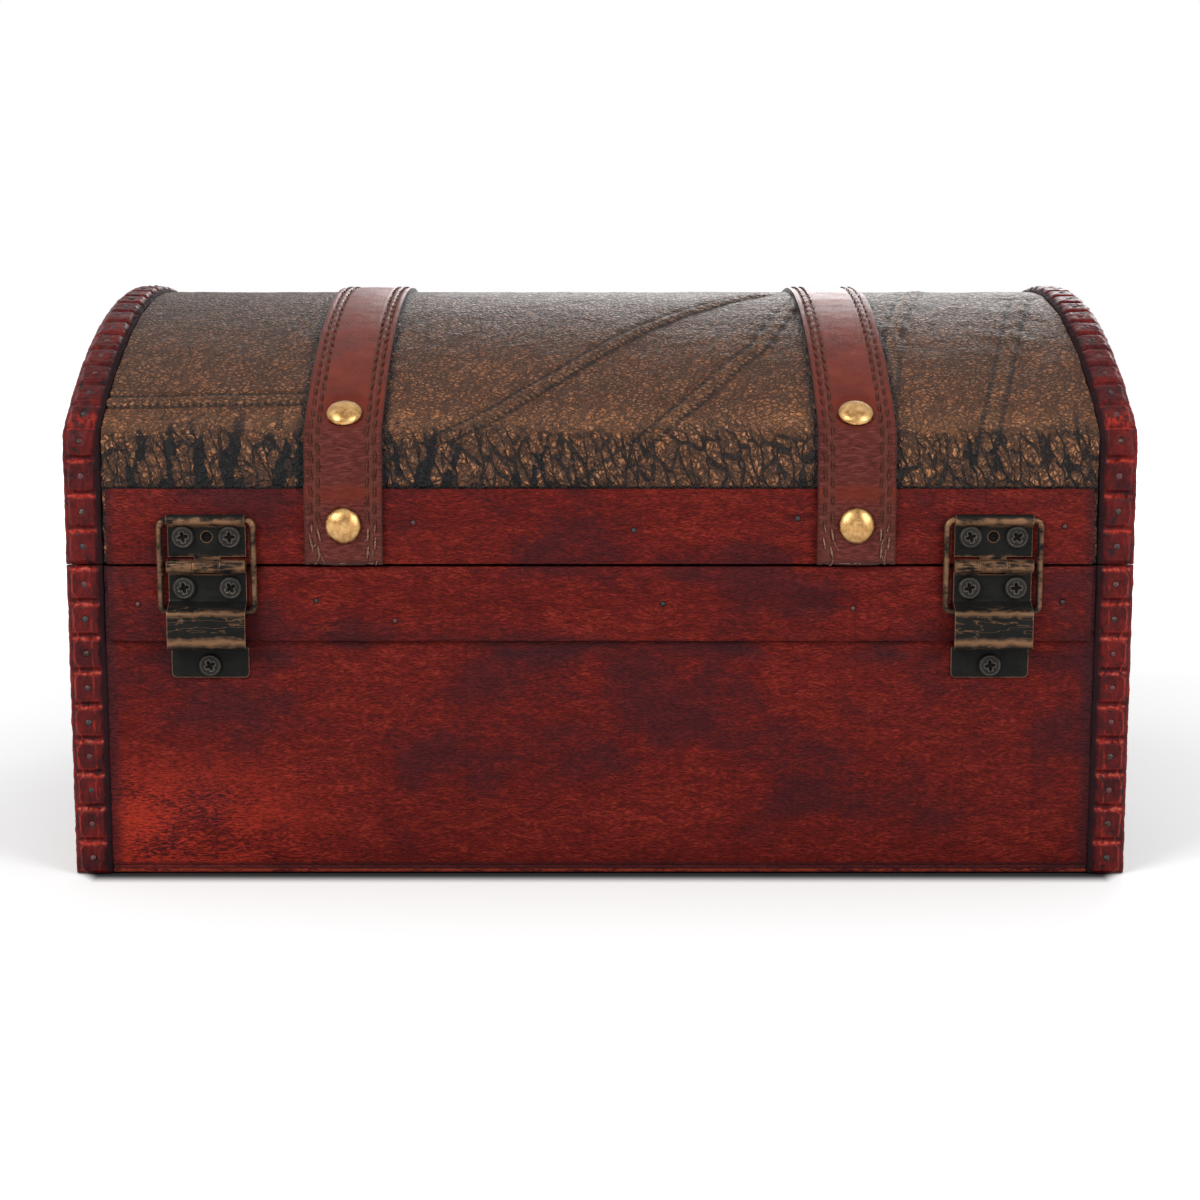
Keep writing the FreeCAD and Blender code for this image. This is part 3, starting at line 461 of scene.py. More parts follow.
def stained_wood(name, along="x", seed=0.0, worn=1.0):
    """Red stain on wood with a short wavy grain, smudged black by handling and darker over its lowest 3.6 mm;
    painted shade mixed with grime darkens it under the rails and beside the mouldings, and painted shade
    darkens it by the hinges.
    """
    f = Finish(name, Specular_IOR_Level=0.06)
    x, y, z = f.axes(f.place())
    run = x if along == "x" else y
    cross = y * 0.6 + x * 0.8 if along == "x" else x
    sway = f.noise(f.vector(run / 7 + seed, z / 5, cross / 9), 1, 1) * 2.2
    fibre = f.noise(f.vector(run / 2.2 + seed, (z + sway) / 0.36, cross / 2), 1, 3, 0.65)
    strand = f.noise(f.vector(run / 11 - seed, (z + sway * 1.4) / 1.7, cross / 7), 1, 2)
    pore = f.lines(f.vector(run / 3.2, (z + sway) / 0.6, cross / 3), 1, 0.035, detail=1)
    smudge = f.noise(f.vector(run / 46 + seed, z / 24, cross / 40), 1, 3, 0.6)
    depth = fibre.step(0.32, 0.68) * 0.42 + strand.step(0.36, 0.64) * 0.16 + smudge * 0.52
    stain = f.ramp(depth, (0.12, (0.034, 0.006, 0.0065)), (0.42, (0.078, 0.007, 0.0058)),
                   (0.68, (0.13, 0.0105, 0.0072)), (0.98, (0.25, 0.03, 0.018)))
    patch = (smudge + fibre * 0.16).step(0.6, 0.44) * 0.55
    fresh = f.noise(f.vector(run / 30 - seed, z / 12, cross / 30), 1, 2)
    low_left = x.step(-58, -118) * z.step(38, 12) * (fresh * 0.6 + fibre * 0.8).step(0.56, 0.78)
    # Painted shade mixed with grime: darker under the rails and beside the mouldings
    shade_and_grime_under_rail = z.within(57.5, 63.6, 4) * abs(y).step(99, 102)
    shade_and_grime_under_rail = shade_and_grime_under_rail * (fibre * 0.3 + fresh * 0.9).step(0.56, 0.68)
    shade_and_grime_by_moulding = abs(x).step(125.5, 129.8) * (strand * 0.6 + 0.6)
    sill = z.step(3.6, 2.4) * abs(y).step(101, 102) * (0.5 + strand * 0.8)
    foot = z.within(0.5, 1.1, 0.3) * (strand + fibre).step(0.75, 1.1)
    # Painted shade on the back by the hinges
    hinge_shade = abs(abs(x) - HINGE_DISTANCE).step(9.5, 8.5) * z.within(86.5, 93.5, 0.5)
    colour = f.layers(stain,
                      ((0.036, 0.0085, 0.012), patch),
                      ((0.42, 0.034, 0.0165), low_left * 0.8 * worn),
                      ((0.022, 0.008, 0.011), shade_and_grime_under_rail.most(shade_and_grime_by_moulding) * 0.8),
                      ((0.03, 0.0085, 0.01), sill * 0.8),
                      ((0.36, 0.05, 0.022), foot * 0.8 * worn),
                      ((0.012, 0.006, 0.006), pore * 0.5),
                      ((0.005, 0.004, 0.004), hinge_shade * y.step(-101, -103)))
    height = fibre * 0.9 + strand * 0.5 - pore * 0.5
    return f.finish(colour, height, 0.2, roughness=0.5 - fibre.step(0.3, 0.7) * 0.1 + patch * 0.12)


def carved_paint(name, pitch, rubbed=None):
    """Dark wine paint on the carved blocks, worn to bright red along their edges; a hand has rubbed it
    between two runs of the lid. The pale pink near each block's groove is worn paint and partly a painted
    highlight, and the inner side is darkened with painted shade."""
    f = Finish(name, Specular_IOR_Level=0.08)
    run, inset, rim = f.axes(f.stored("carving"))
    spot = f.place()
    wander = f.noise(spot, 2.4, 2)
    groove = pitch / 2 - abs((run / pitch) % 1.0 - 0.5) * pitch
    lip = abs(groove - 1.2 + (wander - 0.5) * 0.7).step(0.4, 0.08)
    below = (1 - (run / pitch) % 1.0) * pitch + (wander - 0.5) * 1.3
    bed = below.within(0.4, 1.05, 0.3)
    across_lip = abs(rim - 1.7 + (wander - 0.5) * 1.2 - groove.step(2.6, 0.6) * 1.0).step(0.36, 0.06)
    streak = f.noise(f.place((1, 0.4, 0.4)), 1.0, 3, 0.65)
    cloud = f.noise(spot, 7.0, 3, 0.6)
    seam = abs(rim - 6.6 + (wander - 0.5) * 1.5 + (cloud - 0.5) * 1.4).step(0.34, 0.06)
    seam = seam * wander.step(0.42, 0.56) * (0 if rubbed else 1)
    ledge = rim.step(1.0, 0.3) * inset.step(1.8, 0.5)
    paint = f.ramp(cloud * 0.6 + streak * 0.45, (0.34, (0.016, 0.0055, 0.007)), (0.5, (0.06, 0.007, 0.0075)),
                   (0.64, (0.115, 0.01, 0.0085)), (0.82, (0.22, 0.018, 0.012)))
    on_block = rim.within(1.1, 8.5, 0.3)
    lip_share, across_share, bright = (0.1, 0.25, 0.25) if rubbed else (0.25, 0.7, 0.6)
    worn = (lip * lip_share).most(bed).most(across_lip * across_share).most(seam * 0.5)
    worn = (worn * on_block).most(ledge * 0.85) * (cloud * 0.6 + streak * 0.8).step(0.42, 0.82)
    # The pale pink coat near each block's groove is worn paint and partly a painted highlight
    colour = f.layers(paint, ((0.36, 0.028, 0.017), worn),
                      ((0.42, 0.13, 0.1), worn * bed * streak.step(0.46, 0.62) * bright))
    if rubbed:
        low, high = rubbed
        hand = run.within(low, high, 2.5).most(run.within(WHOLE_RUN - high, WHOLE_RUN - low, 2.5))
        colour = f.mix(colour, (0.42, 0.03, 0.015), hand * streak.step(0.42, 0.6) * on_block * 0.7)
    # Painted shade: the mouldings' inner side, nearly black
    shaded_inner_side = rim.step(7.9, 9.0)
    cracks = f.lines(f.place((1, 0.7, 0.7)), 2.2, 0.02, detail=3)
    dents = f.noise(spot, 3.4, 1.5).step(0.66, 0.71)
    colour = f.layers(colour, ((0.011, 0.006, 0.008), shaded_inner_side * 0.92), ((0.01, 0.006, 0.007), cracks * 0.55),
                      ((0.012, 0.009, 0.01), dents * on_block * 0.8))
    return f.finish(colour, streak * 0.6 + cloud - dents * 0.5, 0.24,
                    roughness=0.3 + streak.step(0.3, 0.7) * 0.2 + shaded_inner_side * 0.4)


# Embossed scars across the cover: x and run of the points, in millimetres, and half the width
SCARS = (((-13.0, 5.0), (-1.3, 21.9), (10.4, 30.5), (26.5, 51.8), (43.9, 78.9), (58.3, 122.1), (66, 150)),
         ((-41.6, 32.5), (-26.3, 45.1), (-10.7, 61.6), (11.1, 89.5), (47.4, 133.3)),
         ((96.5, 8.0), (99.1, 21.9), (101.6, 36.6), (109.9, 69.7), (122.4, 122.1)),
         ((75.4, 44.0), (81.2, 85.8), (88.9, 122.1), (96, 150)),
         ((-131.0, 48.6), (-105.8, 49.5), (-77.0, 50.4)),
         ((-60, 175), (-20, 205), (30, 232), (70, 262), (92, 292)),
         ((120, 190), (60, 214), (10, 246), (-30, 290)),
         ((-118, 180), (-100, 230), (-96, 291)))
SCAR_HALF = 2.6
# Dark upright stains on the cover's back: x, half width at the foot and run of the top
STAINS = ((-124.5, 1.2, 34), (-120.0, 2.0, 46), (-112.5, 2.2, 47), (-105.0, 2.6, 44), (-95.5, 3.4, 47),
          (-84.5, 2.4, 46), (-78.0, 3.0, 44), (-53.5, 1.8, 40), (-44.5, 3.4, 38), (-38.0, 2.0, 30),
          (-22.0, 2.4, 24), (-16.5, 3.0, 30), (-8.0, 2.0, 20), (96.5, 1.6, 40), (104.5, 1.8, 38),
          (52.0, 1.4, 22), (124.0, 1.6, 44))


def cover_leather():
    """Bronzed leather with a wormy grain, dark cracks and stains and embossed scars, with painted highlights
    along the shoulder and on the rims of the grain.
    """
    f = Finish("bronzed_leather", Specular_IOR_Level=0.12)
    map_ = f.flat("Cover")
    u, v, _ = f.axes(map_)
    away, along, stained = f.axes(f.stored("scars"))
    side = v.least(WHOLE_RUN - v)
    cloud = f.noise(map_, 26, 3, 0.55)
    fine = f.noise(map_, 3.2, 3, 0.6)
    upright = (side + (fine - 0.5) * 22 + (cloud - 0.5) * 16).step(47, 32)
    sway = (f.noise(map_, 9, 2) - 0.5) * 4.0
    aside = (f.noise(map_, 1.9, 2) - 0.5) * 2.2
    rise = (f.noise(f.vector(v, u), 1.9, 2) - 0.5) * 2.2
    worm = f.noise(f.vector(u / 1.2, v / 0.8), 1, 1, 0.5, 0.9)
    flat_cell = f.cells(f.vector((u + aside) / 1.6, (v + rise) / 1.1), 1, "DISTANCE_TO_EDGE")
    tall_cell = f.cells(f.vector((u + sway + aside) / 1.1, (v + rise) / 2.0, 5), 1, "DISTANCE_TO_EDGE")
    grain = flat_cell + (tall_cell - flat_cell) * upright
    valley = grain.step(0.19, 0.06) * (worm.step(0.34, 0.46) * 0.5 + 0.5)
    # Painted highlight on the rims of the grain beside its grooves
    crest = grain.within(0.19, 0.3, 0.07) * worm.step(0.4, 0.58)
    leaning = u + sway + v * 0.22 + aside * 0.4
    plate = f.cells(f.vector(leaning / 3.1, (v + rise) / 9.5, 2), 1, "DISTANCE_TO_EDGE")
    level = f.lines(f.vector(u / 26, (v + sway * 0.6) / 7, 4), 1, 0.035, detail=1) * cloud.step(0.42, 0.55)
    crack = plate.step(0.12, 0.055).most(level) * upright * fine.step(0.3, 0.42)
    slant = f.lines(f.vector((u + v * 0.8) / 5, (v - u * 0.8) / 13, 9), 1, 0.09, detail=2, warp=0.4)
    slant = slant * (upright * 0.8 + 0.2)
    web = f.lines(f.vector((u - v * 0.5) / 5 + 3, (v + u * 0.6) / 11), 1, 0.085, detail=2.5, warp=0.6)
    web = web * (fine + cloud).step(0.75, 1.0)
    bronze = f.ramp(cloud * 0.65 + fine * 0.4, (0.3, (0.1, 0.044, 0.023)), (0.48, (0.175, 0.067, 0.03)),
                    (0.62, (0.25, 0.092, 0.038)), (0.8, (0.32, 0.122, 0.05)))
    # Painted highlight: a band of bright copper along the shoulder bend
    shoulder_highlight = side.within(33, 45, 5) * (cloud * 0.6 + fine * 0.5).step(0.4, 0.66)
    line = abs(away + (fine - 0.5) * 1.3 - SCAR_HALF).step(0.8, 0.2)
    line = line * (fine * 0.7 + worm * 0.6).step(0.5, 0.7)
    bead = abs((along / 1.9) % 1.0 - 0.5)
    tick = bead.step(0.16, 0.3) * away.within(0.7, 1.9, 0.3)
    hole = bead.step(0.3, 0.14) * abs(away - SCAR_HALF + 0.3).step(1.0, 0.5) * (cloud + fine).step(0.65, 0.85)
    stain = (stained + (fine - 0.5) * 2.6 + (0.16 - plate) * 4.0 * upright).step(0.0, 0.35)
    stain = stain * (side.step(46, 28) * 0.5 + 0.48)
    by_strap = abs(abs(u) - STRAP_DISTANCE).step(13.0, 10.8) * (fine + cloud * 0.4).step(0.5, 0.75)
    dark = stain.most(by_strap * 0.85).most(line * 0.75).most(hole * 0.8)
    ends = v.step(1.5, 0.2).most(side.within(18.5, 20.6, 0.7))
    cut = (valley * (0.76 + upright * 0.1)).most(crack * 0.97).most(slant * 0.85).most(web * 0.75).most(ends)
    colour = f.layers(bronze,
                      ((0.085, 0.046, 0.03), side.step(50, 110) * 0.8),
                      ((0.36, 0.16, 0.076), upright * 0.55),
                      ((0.42, 0.17, 0.07), shoulder_highlight * 0.65),
                      ((0.6, 0.32, 0.18), crest * (upright * 0.12 + 0.34)),
                      ((0.36, 0.19, 0.1), tick * 0.5),
                      ((0.02, 0.022, 0.0245), dark),
                      ((0.012, 0.0115, 0.012), cut))
    height = grain.step(0.02, 0.26) - crack.most(slant).most(web * 0.8).most(line * 0.7) + tick * 0.5
    return f.finish(colour, height, 0.42, roughness=0.4 + valley * 0.14 + stain * 0.2)


def strap_leather():
    """Smooth red-brown leather, wrinkled and faded to a dull purple where it hangs upright."""
    f = Finish("strap_leather", Specular_IOR_Level=0.1)
    map_ = f.flat("Strap")
    u, v, _ = f.axes(map_)
    side = f.stored("side_run", "Fac")
    hang = side.step(44, 34)
    pore = f.cells(map_, 0.55).step(0.1, 0.5)
    wrinkle = f.noise(f.vector(u / 2.6, v / 0.62), 1, 2, 0.5, 0.6)
    cloud = f.noise(map_, 9, 3, 0.6)
    red = f.ramp(cloud, (0.3, (0.095, 0.013, 0.007)), (0.55, (0.135, 0.019, 0.0095)),
                 (0.75, (0.17, 0.027, 0.014)))
    dull = f.ramp(wrinkle, (0.32, (0.055, 0.011, 0.0085)), (0.5, (0.09, 0.017, 0.013)),
                  (0.7, (0.14, 0.034, 0.027)))
    rim = abs(u)
    edge = rim.step(9.5, 10.15).most(side.step(1.3, 0.4))
    colour = f.layers(red, (dull, hang * (1 - side.within(16.5, 20.5, 1.5) * 0.75)),
                      ((0.1, 0.03, 0.022), rim.within(5.8, 8.9, 0.4) * 0.5),
                      ((0.035, 0.014, 0.012), edge * 0.8))
    height = pore * 0.12 + wrinkle * (hang * 0.9 + 0.06)
    return f.finish(colour, height, 0.34, roughness=0.34 + hang * 0.14 + cloud * 0.06)


def antique_brass():
    """Domed tack heads: old gold with brown specks and small dents."""
    f = Finish("antique_brass", Metallic=1.0)
    spot = f.place()
    cloud = f.noise(spot, 2.2, 4, 0.65)
    speck = f.noise(spot, 0.35, 2).step(0.66, 0.74)
    rub = f.wear(0.5, 0.02, 0.2)
    gold = f.ramp(cloud, (0.3, (0.28, 0.14, 0.048)), (0.5, (0.47, 0.265, 0.1)), (0.72, (0.68, 0.44, 0.2)))
    colour = f.layers(gold, ((0.12, 0.06, 0.025), speck * 0.75), ((0.75, 0.58, 0.3), rub * 0.5))
    roughness = 0.24 + cloud.step(0.3, 0.7) * 0.14 + speck * 0.2
    return f.finish(colour, cloud + speck * -0.4, 0.09, roughness=roughness)


def blackened_metal(name, bare, dark, light, hinge=False, paint_recess_shade=False, metal=0.0):
    """A metal under a dark finish from dark to light, rubbed bare along its edges. On a hinge its rolls,
    bends and wires are bare too; a screw may get painted shade, black, in its cross recess."""
    f = Finish(name, Specular_IOR_Level=0.08)
    spot = f.place()
    cloud = f.noise(spot, 3.5, 4, 0.6)
    streak = f.noise(f.place((0.22, 1.5, 1.5)), 1.1, 3, 0.65)
    rub = f.wear(0.5, 0.006, 0.09)
    bare_share = rub * (cloud + 0.5).step(0.68, 0.98) * 0.9
    if hinge:
        x, y, z = f.axes(spot)
        stands = abs(y) - RAIL_FACE
        drop = PARTING - z + (streak - 0.5) * 1.2 + (cloud - 0.5) * 2.2
        bends = drop.within(11.9, 12.5, 0.8).most(drop.within(19.0, 20.4, 0.9) * 0.85) * stands.step(1.0, 2.6)
        rolled = abs(drop).step(2.9, 2.0) * (streak * 0.6 + cloud * 0.5).step(0.48, 0.66)
        bar = drop.within(-12.4, -10.4, 0.5) * (cloud + streak * 0.5).step(0.5, 0.8)
        wire = abs(abs(x) - HINGE_DISTANCE).step(11.6, 12.1) * (cloud + streak * 0.4).step(0.5, 0.85)
        scratch = f.lines(f.place((0.3, 1.6, 1.6)), 2.6, 0.02, detail=2) * stands.step(2.4, 3.2)
        for rubbed, share in ((bends, 0.8), (rolled, 0.6), (bar, 0.7), (wire, 0.6), (scratch, 0.4)):
            bare_share = bare_share.most(rubbed * share)
    colour = f.ramp(cloud * 0.6 + streak * 0.4, (0.32, dark), (0.68, light))
    colour = f.mix(colour, bare, bare_share)
    # Painted shade: black inside a screw's cross recess
    if paint_recess_shade:
        colour = f.mix(colour, (0.004, 0.004, 0.004), f.stored("recess", "Fac"))
    roughness = 0.46 - bare_share * 0.14 + streak.step(0.3, 0.7) * 0.1
    metallic = bare_share * (0.85 - metal) + metal
    return f.finish(colour, cloud + streak * 0.8, 0.06, roughness, metallic)


def dull_steel():
    """Nail ends: most are painted over or black, and some are clean."""
    f = Finish("nail_steel")
    cloud = f.noise(f.place(), 0.7, 3, 0.6)
    clean = f.noise(f.place(), 11, 1).step(0.52, 0.6)
    bright = f.ramp(cloud, (0.35, (0.02, 0.015, 0.014)), (0.6, (0.07, 0.05, 0.045)),
                    (0.78, (0.3, 0.24, 0.21)))
    black = f.noise(f.place((1, 1, 1), (5, 3, 1)), 12, 1).step(0.48, 0.54)
    colour = f.mix(f.mix((0.06, 0.008, 0.008), (0.006, 0.005, 0.005), black), bright, clean)
    return f.finish(colour, cloud, 0.08, roughness=0.35 + cloud * 0.2, metallic=clean * 0.8)


def waxed_thread():
    """Dark stitches, paler where the ends are frayed at the foot of a strap."""
    f = Finish("waxed_thread", Specular_IOR_Level=0.12)
    twist = f.noise(f.place((1, 2.2, 2.2)), 0.5, 2)
    colour = f.ramp(twist, (0.3, (0.03, 0.009, 0.006)), (0.55, (0.075, 0.023, 0.013)),
                    (0.75, (0.17, 0.07, 0.038)))
    _, y, z = f.axes(f.place())
    strap_face = RAIL_FACE + STRAP_THICK
    frayed = z.step(LID_BOTTOM + 11, LID_BOTTOM + 9) * abs(y).step(strap_face + 0.1, strap_face + 0.3)
    colour = f.mix(colour, (0.25, 0.15, 0.1), frayed * twist.step(0.3, 0.6))
    return f.finish(colour, twist, 0.12, roughness=0.62)


def seen_rays(nodes):
    """1 where the camera, a polished surface or glass looks at the studio, and 0 for its light."""
    kinds = ("Camera", "Glossy", "Transmission")
    camera, glossy, through = [nodes.node("ShaderNodeLightPath", output=f"Is {kind} Ray") for kind in kinds]
    return camera.most(glossy).most(through)


def white_floor():
    """A white studio floor that keeps the chest's shadow, with painted shadow, dark, in a narrow band at the
    chest's foot, and painted shade where its glow weakens near the chest.
    """
    f = Finish("studio_floor", Roughness=0.9, Specular_IOR_Level=0.0)
    seen = seen_rays(f)
    x, y, _ = f.axes(f.place())
    beside, behind = abs(x) - HALF_LENGTH, abs(y) - HALF_DEPTH
    # Painted shadow: dark for 8.5 mm before and behind the chest's foot, less so at its corners, and not
    # beside it
    lit = (behind + (beside + 6).most(0) * 1.5).step(-0.5, 8.5).most(beside.step(-0.8, 0.4))
    # Painted shade: the glow for the camera and polished surfaces is weaker near the chest and full only 420
    # mm away
    far = beside.most(behind).step(20, 420)
    f.wire(Base_Color=f.mix((0.04, 0.04, 0.042), (0.9, 0.9, 0.9), lit),
           Emission_Color=f.mix((0.28, 0.28, 0.28), (1, 1, 1), far), Emission_Strength=seen * lit * 0.6)
    return f.material


def white_backdrop():
    """A white screen high behind the chest, which only the camera and polished surfaces see lit."""
    f = Finish("studio_backdrop", Roughness=0.9, Specular_IOR_Level=0.0)
    f.wire(Base_Color=(0.7, 0.7, 0.7, 1), Emission_Color=(1, 1, 1, 1),
           Emission_Strength=seen_rays(f) * 0.75)
    return f.material


# Woodwork


def bevelled(node, name, width):
    """A copy of a CAD node with eased edges."""
    piece = copy_of(node, name)
    modify(piece, "BEVEL", width=width * MM, segments=2, limit_method="ANGLE",
           angle_limit=math.radians(35), use_clamp_overlap=True)
    return smooth(piece, 50)


def boards(finishes):
    """Boards and rails with eased edges."""
    sides, faces = ("left", "right"), ("back", "front")
    rows = [(f"body_{face}_board", f"panel_{face}", "wood_long") for face in faces]
    rows += [(f"body_{side}_end_board", f"panel_{side}_end", "wood_end") for side in sides]
    rows += [("body_floor", "floor_board", "wood_long")]
    rows += [(f"lid_{side}_end_board", f"lid_{side}_end", "wood_end") for side in sides]
    rows += [(f"{body}_{face}_rail", f"{body}_rail_{face}", "wood_rail")
             for body in ("body", "lid") for face in faces]
    for node, name, finish in rows:
        body, *_ = node.split("_")
        ease_by, slot = (0.25, "rail_wood") if finish == "wood_rail" else (0.4, "body_wood")
        dress(bevelled(node, name, ease_by), body, finishes[finish], slot, node)
    for node in ("lid_top", "lid_back_board", "lid_front_board"):
        coat(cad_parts[node], finishes["wood_long"])


def carved(node, name, body, finish):
    """A moulding as it is carved by hand: its blocks softened and uneven, its edges rounded. Its
    end reaches a little into the parting, and is flat there."""
    piece = copy_of(node, name)
    modify(piece, "REMESH", mode="VOXEL", voxel_size=CARVING_VOXEL * MM, use_smooth_shade=True)
    modify(piece, "SMOOTH", factor=0.5, iterations=4)
    rough_up(piece, 0.5, 4.0)
    rough_up(piece, 0.22, 1.3)
    on_lid = body == "lid"
    end, reach = (LID_BOTTOM, -PARTING_REACH) if on_lid else (BODY_HEIGHT, PARTING_REACH)
    limit = (end + reach) * MM
    for vertex in piece.data.vertices:
        near = max(0.0, 1 - abs(vertex.co.z / MM - end) / PARTING_BLEND)
        drawn = vertex.co.z + reach * MM * near
        vertex.co.z = max(drawn, limit) if on_lid else min(drawn, limit)
    carving = []
    for vertex in piece.data.vertices:
        x, y, z = vertex.co / MM
        run, inset = lid_place(vertex.co) if on_lid else (z, HALF_DEPTH - abs(y))
        carving.append((run, inset, HALF_LENGTH - abs(x)))
    keep(piece, "carving", carving)
    smooth(piece, 180)
    return dress(piece, body, finish, "moulding_wood", node)


def mouldings(finishes):
    """Two mouldings at each end of the body, and one over each end of the lid."""
    for side in ("left", "right"):
        for face in ("back", "front"):
            node = f"body_{side}_{face}_moulding"
            carved(node, f"carved_{side}_{face}", "body", finishes["body_carving"])
        carved(f"lid_{side}_moulding", f"carved_lid_{side}", "lid", finishes["lid_carving"])


# Leather


def laid_sheet(name, line, x0, x1, columns, thickness):
    """A sheet over the lid along a line of points, with columns of faces on its outer side."""
    clear()
    start = line[0]
    wide = x1 - x0
    middle = Vector(((x0 + x1) / 2, start.y, start.z + wide / 2)) * MM
    bpy.ops.mesh.primitive_plane_add(size=wide * MM, location=middle, rotation=(math.pi / 2, 0, 0))
    piece = settle(bpy.context.object)
    piece.name = name
    top = max(vertex.co.z for vertex in piece.data.vertices)
    edit(piece, "EDGE")
    pick(piece, "verts", lambda vertex: abs(vertex.co.z - top) < TOUCHING * MM)
    bpy.ops.transform.translate(value=(line[1] * MM - Vector((0, start.y * MM, top))))
    for a, b in zip(line[1:], line[2:]):
        extrude((b - a) * MM)
    bpy.ops.object.mode_set(mode="OBJECT")
    face = piece.data.polygons[len(piece.data.polygons) // 2]
    if face.normal.dot(face.center - Vector((face.center.x, 0, 0))) < 0:
        edit(piece)
        bpy.ops.mesh.select_all(action="SELECT")
        bpy.ops.mesh.flip_normals()
    outer = len(piece.data.vertices)
    modify(piece, "SOLIDIFY", thickness=thickness * MM, offset=-1.0, use_even_offset=True)

    def across(edge):
        a, b = edge.verts
        return a.index < outer and b.index < outer and abs(a.co.x - b.co.x) > 0.5 * wide * MM

    edit(piece, "EDGE")
    pick(piece, "edges", across)
    bpy.ops.mesh.subdivide(number_cuts=columns - 1)
    bpy.ops.object.mode_set(mode="OBJECT")
    return piece


def map_points(piece, layer, places):
    """A UV map that holds flat places of the points, given in millimetres, in metres."""
    uv = piece.data.uv_layers.new(name=layer)
    corners = np.zeros(len(piece.data.loops), np.int32)
    piece.data.loops.foreach_get("vertex_index", corners)
    uv.data.foreach_set("uv", (places[corners] * MM).astype(np.float32).ravel())


def scar_field(places):
    """For flat points as rows of x and run: how far the next scar is, and how far along it."""
    away = np.full(len(places), 30.0)
    along = np.zeros(len(places))
    for points in SCARS:
        passed = 0.0
        for a, b in zip(points, points[1:]):
            a, span = np.array(a), np.array(b) - np.array(a)
            size = math.hypot(*span)
            share = np.clip((places - a) @ span / size**2, 0, 1)
            near = np.linalg.norm(places - a - share[:, None] * span, axis=1)
            closer = near < away
            away[closer] = near[closer]
            along[closer] = passed + share[closer] * size
            passed += size
    return away, along


def stain_field(places):
    """How deep, in millimetres, flat points lie inside the dark upright stains."""
    side = np.minimum(places[:, 1], WHOLE_RUN - places[:, 1])
    flip = np.where(places[:, 1] < WHOLE_RUN / 2, 1.0, -1.0)
    deep = np.full(len(places), -9.0)
    for x, half, top in STAINS:
        wide = half * (0.42 + 0.5 * np.clip((top - side) / top, 0, 1))
        middle = x + 1.1 * np.sin(side / 4.2 + x) + 0.6 * np.sin(side / 1.9 + 2 * x)
        inside = np.minimum(wide - np.abs(places[:, 0] * flip - middle), (top - side) * 0.5)
        deep = np.maximum(deep, inside)
    return deep


def leather_cover(finish):
    """The cover glued over the lid, with its scars, wrinkles and cracks in the surface."""
    steps, columns = 300, 250
    line = [station(WHOLE_RUN * step / steps, COVER)[0] for step in range(steps + 1)]
    half = INNER_HALF_LENGTH - 0.2
    piece = laid_sheet("leather_cover", line, -half, half, columns, LEATHER_THICK)
    found = [lid_place(vertex.co) for vertex in piece.data.vertices]
    places = np.array([(vertex.co.x / MM, run) for vertex, (run, _) in zip(piece.data.vertices, found)])
    side = np.minimum(places[:, 1], WHOLE_RUN - places[:, 1])
    outside = np.array([inset < COVER + 0.3 for _, inset in found]) * smooth_step(side, 0.5, 3)
    map_points(piece, "Cover", places)
    map_points(piece, "Creases", places * (1.0, 0.28))
    away, along = scar_field(places)
    press(piece, 0.45, outside * smooth_step(away, 2.2, 0.6))
    press(piece, -0.4, outside * np.clip(1 - np.abs(away - SCAR_HALF) / 1.2, 0, 1))
    rough_up(piece, 0.5, 14.0, outside)
    rough_up(piece, 0.3, 3.0, outside)
    creases = bpy.data.textures.new("creases", "CLOUDS")
    creases.noise_scale = 2.6 * MM
    press(piece, 0.7, outside * smooth_step(side, 48, 30), texture=creases, texture_coords="UV",
          uv_layer="Creases", mid_level=0.5)
    piece.data.uv_layers.remove(piece.data.uv_layers["Creases"])
    keep(piece, "scars", np.stack([away, along, stain_field(places)], 1))
    smooth(piece)
    return dress(piece, "lid", finish, "lid_leather", "lid_leather")


def strap_line():
    """The outer side of a strap, from the back parting over the rail and the lid to the front."""
    rail_top = LID_BOTTOM + RAIL_HEIGHT
    reach = STRAP_THICK
    corners = [(RAIL_FACE + reach, LID_BOTTOM), (RAIL_FACE + reach, rail_top + reach / 2),
               (FACE + reach, rail_top + STRAP_RAMP), (FACE + reach, BEND_Z)]
    points = []
    step = 0.55
    for (y0, z0), (y1, z1) in zip(corners, corners[1:]):
        count = max(1, round(math.hypot(y1 - y0, z1 - z0) / step))
        points += [Vector((0, -(y0 + (y1 - y0) * k / count), z0 + (z1 - z0) * k / count))
                   for k in range(count)]
    over = WHOLE_RUN / 2 - SIDE_RUN
    count = round(over / step)
    points += [station(SIDE_RUN + over * k / count, COVER - reach)[0] for k in range(count)]
    crest = station(WHOLE_RUN / 2, COVER - reach)[0]
    mirrored = [Vector((0, -point.y, point.z)) for point in reversed(points)]
    return points + [crest] + mirrored


def measured(line):
    """Distances of the points of a line from its start."""
    runs = [0.0]
    for a, b in zip(line, line[1:]):
        runs.append(runs[-1] + (b - a).length)
    return runs


def on_line(line, runs, distance):
    """Point, direction along and direction outwards at a distance along a line."""
    for number in range(1, len(runs)):
        if runs[number] >= distance:
            break
    a, b = line[number - 1], line[number]
    share = (distance - runs[number - 1]) / (runs[number] - runs[number - 1])
    ahead = (b - a).normalized()
    return a + (b - a) * share, ahead, ACROSS.cross(ahead).normalized() * -1


STITCH_ROWS = (6.4, 8.3)
STITCH_PITCH = 4.6
STITCH_STARTS = (3.2, 3.2 + 0.5 * STITCH_PITCH)
LOW_TACK = LID_BOTTOM + 0.52 * RAIL_HEIGHT
HIGH_TACK_SHARE = 0.04


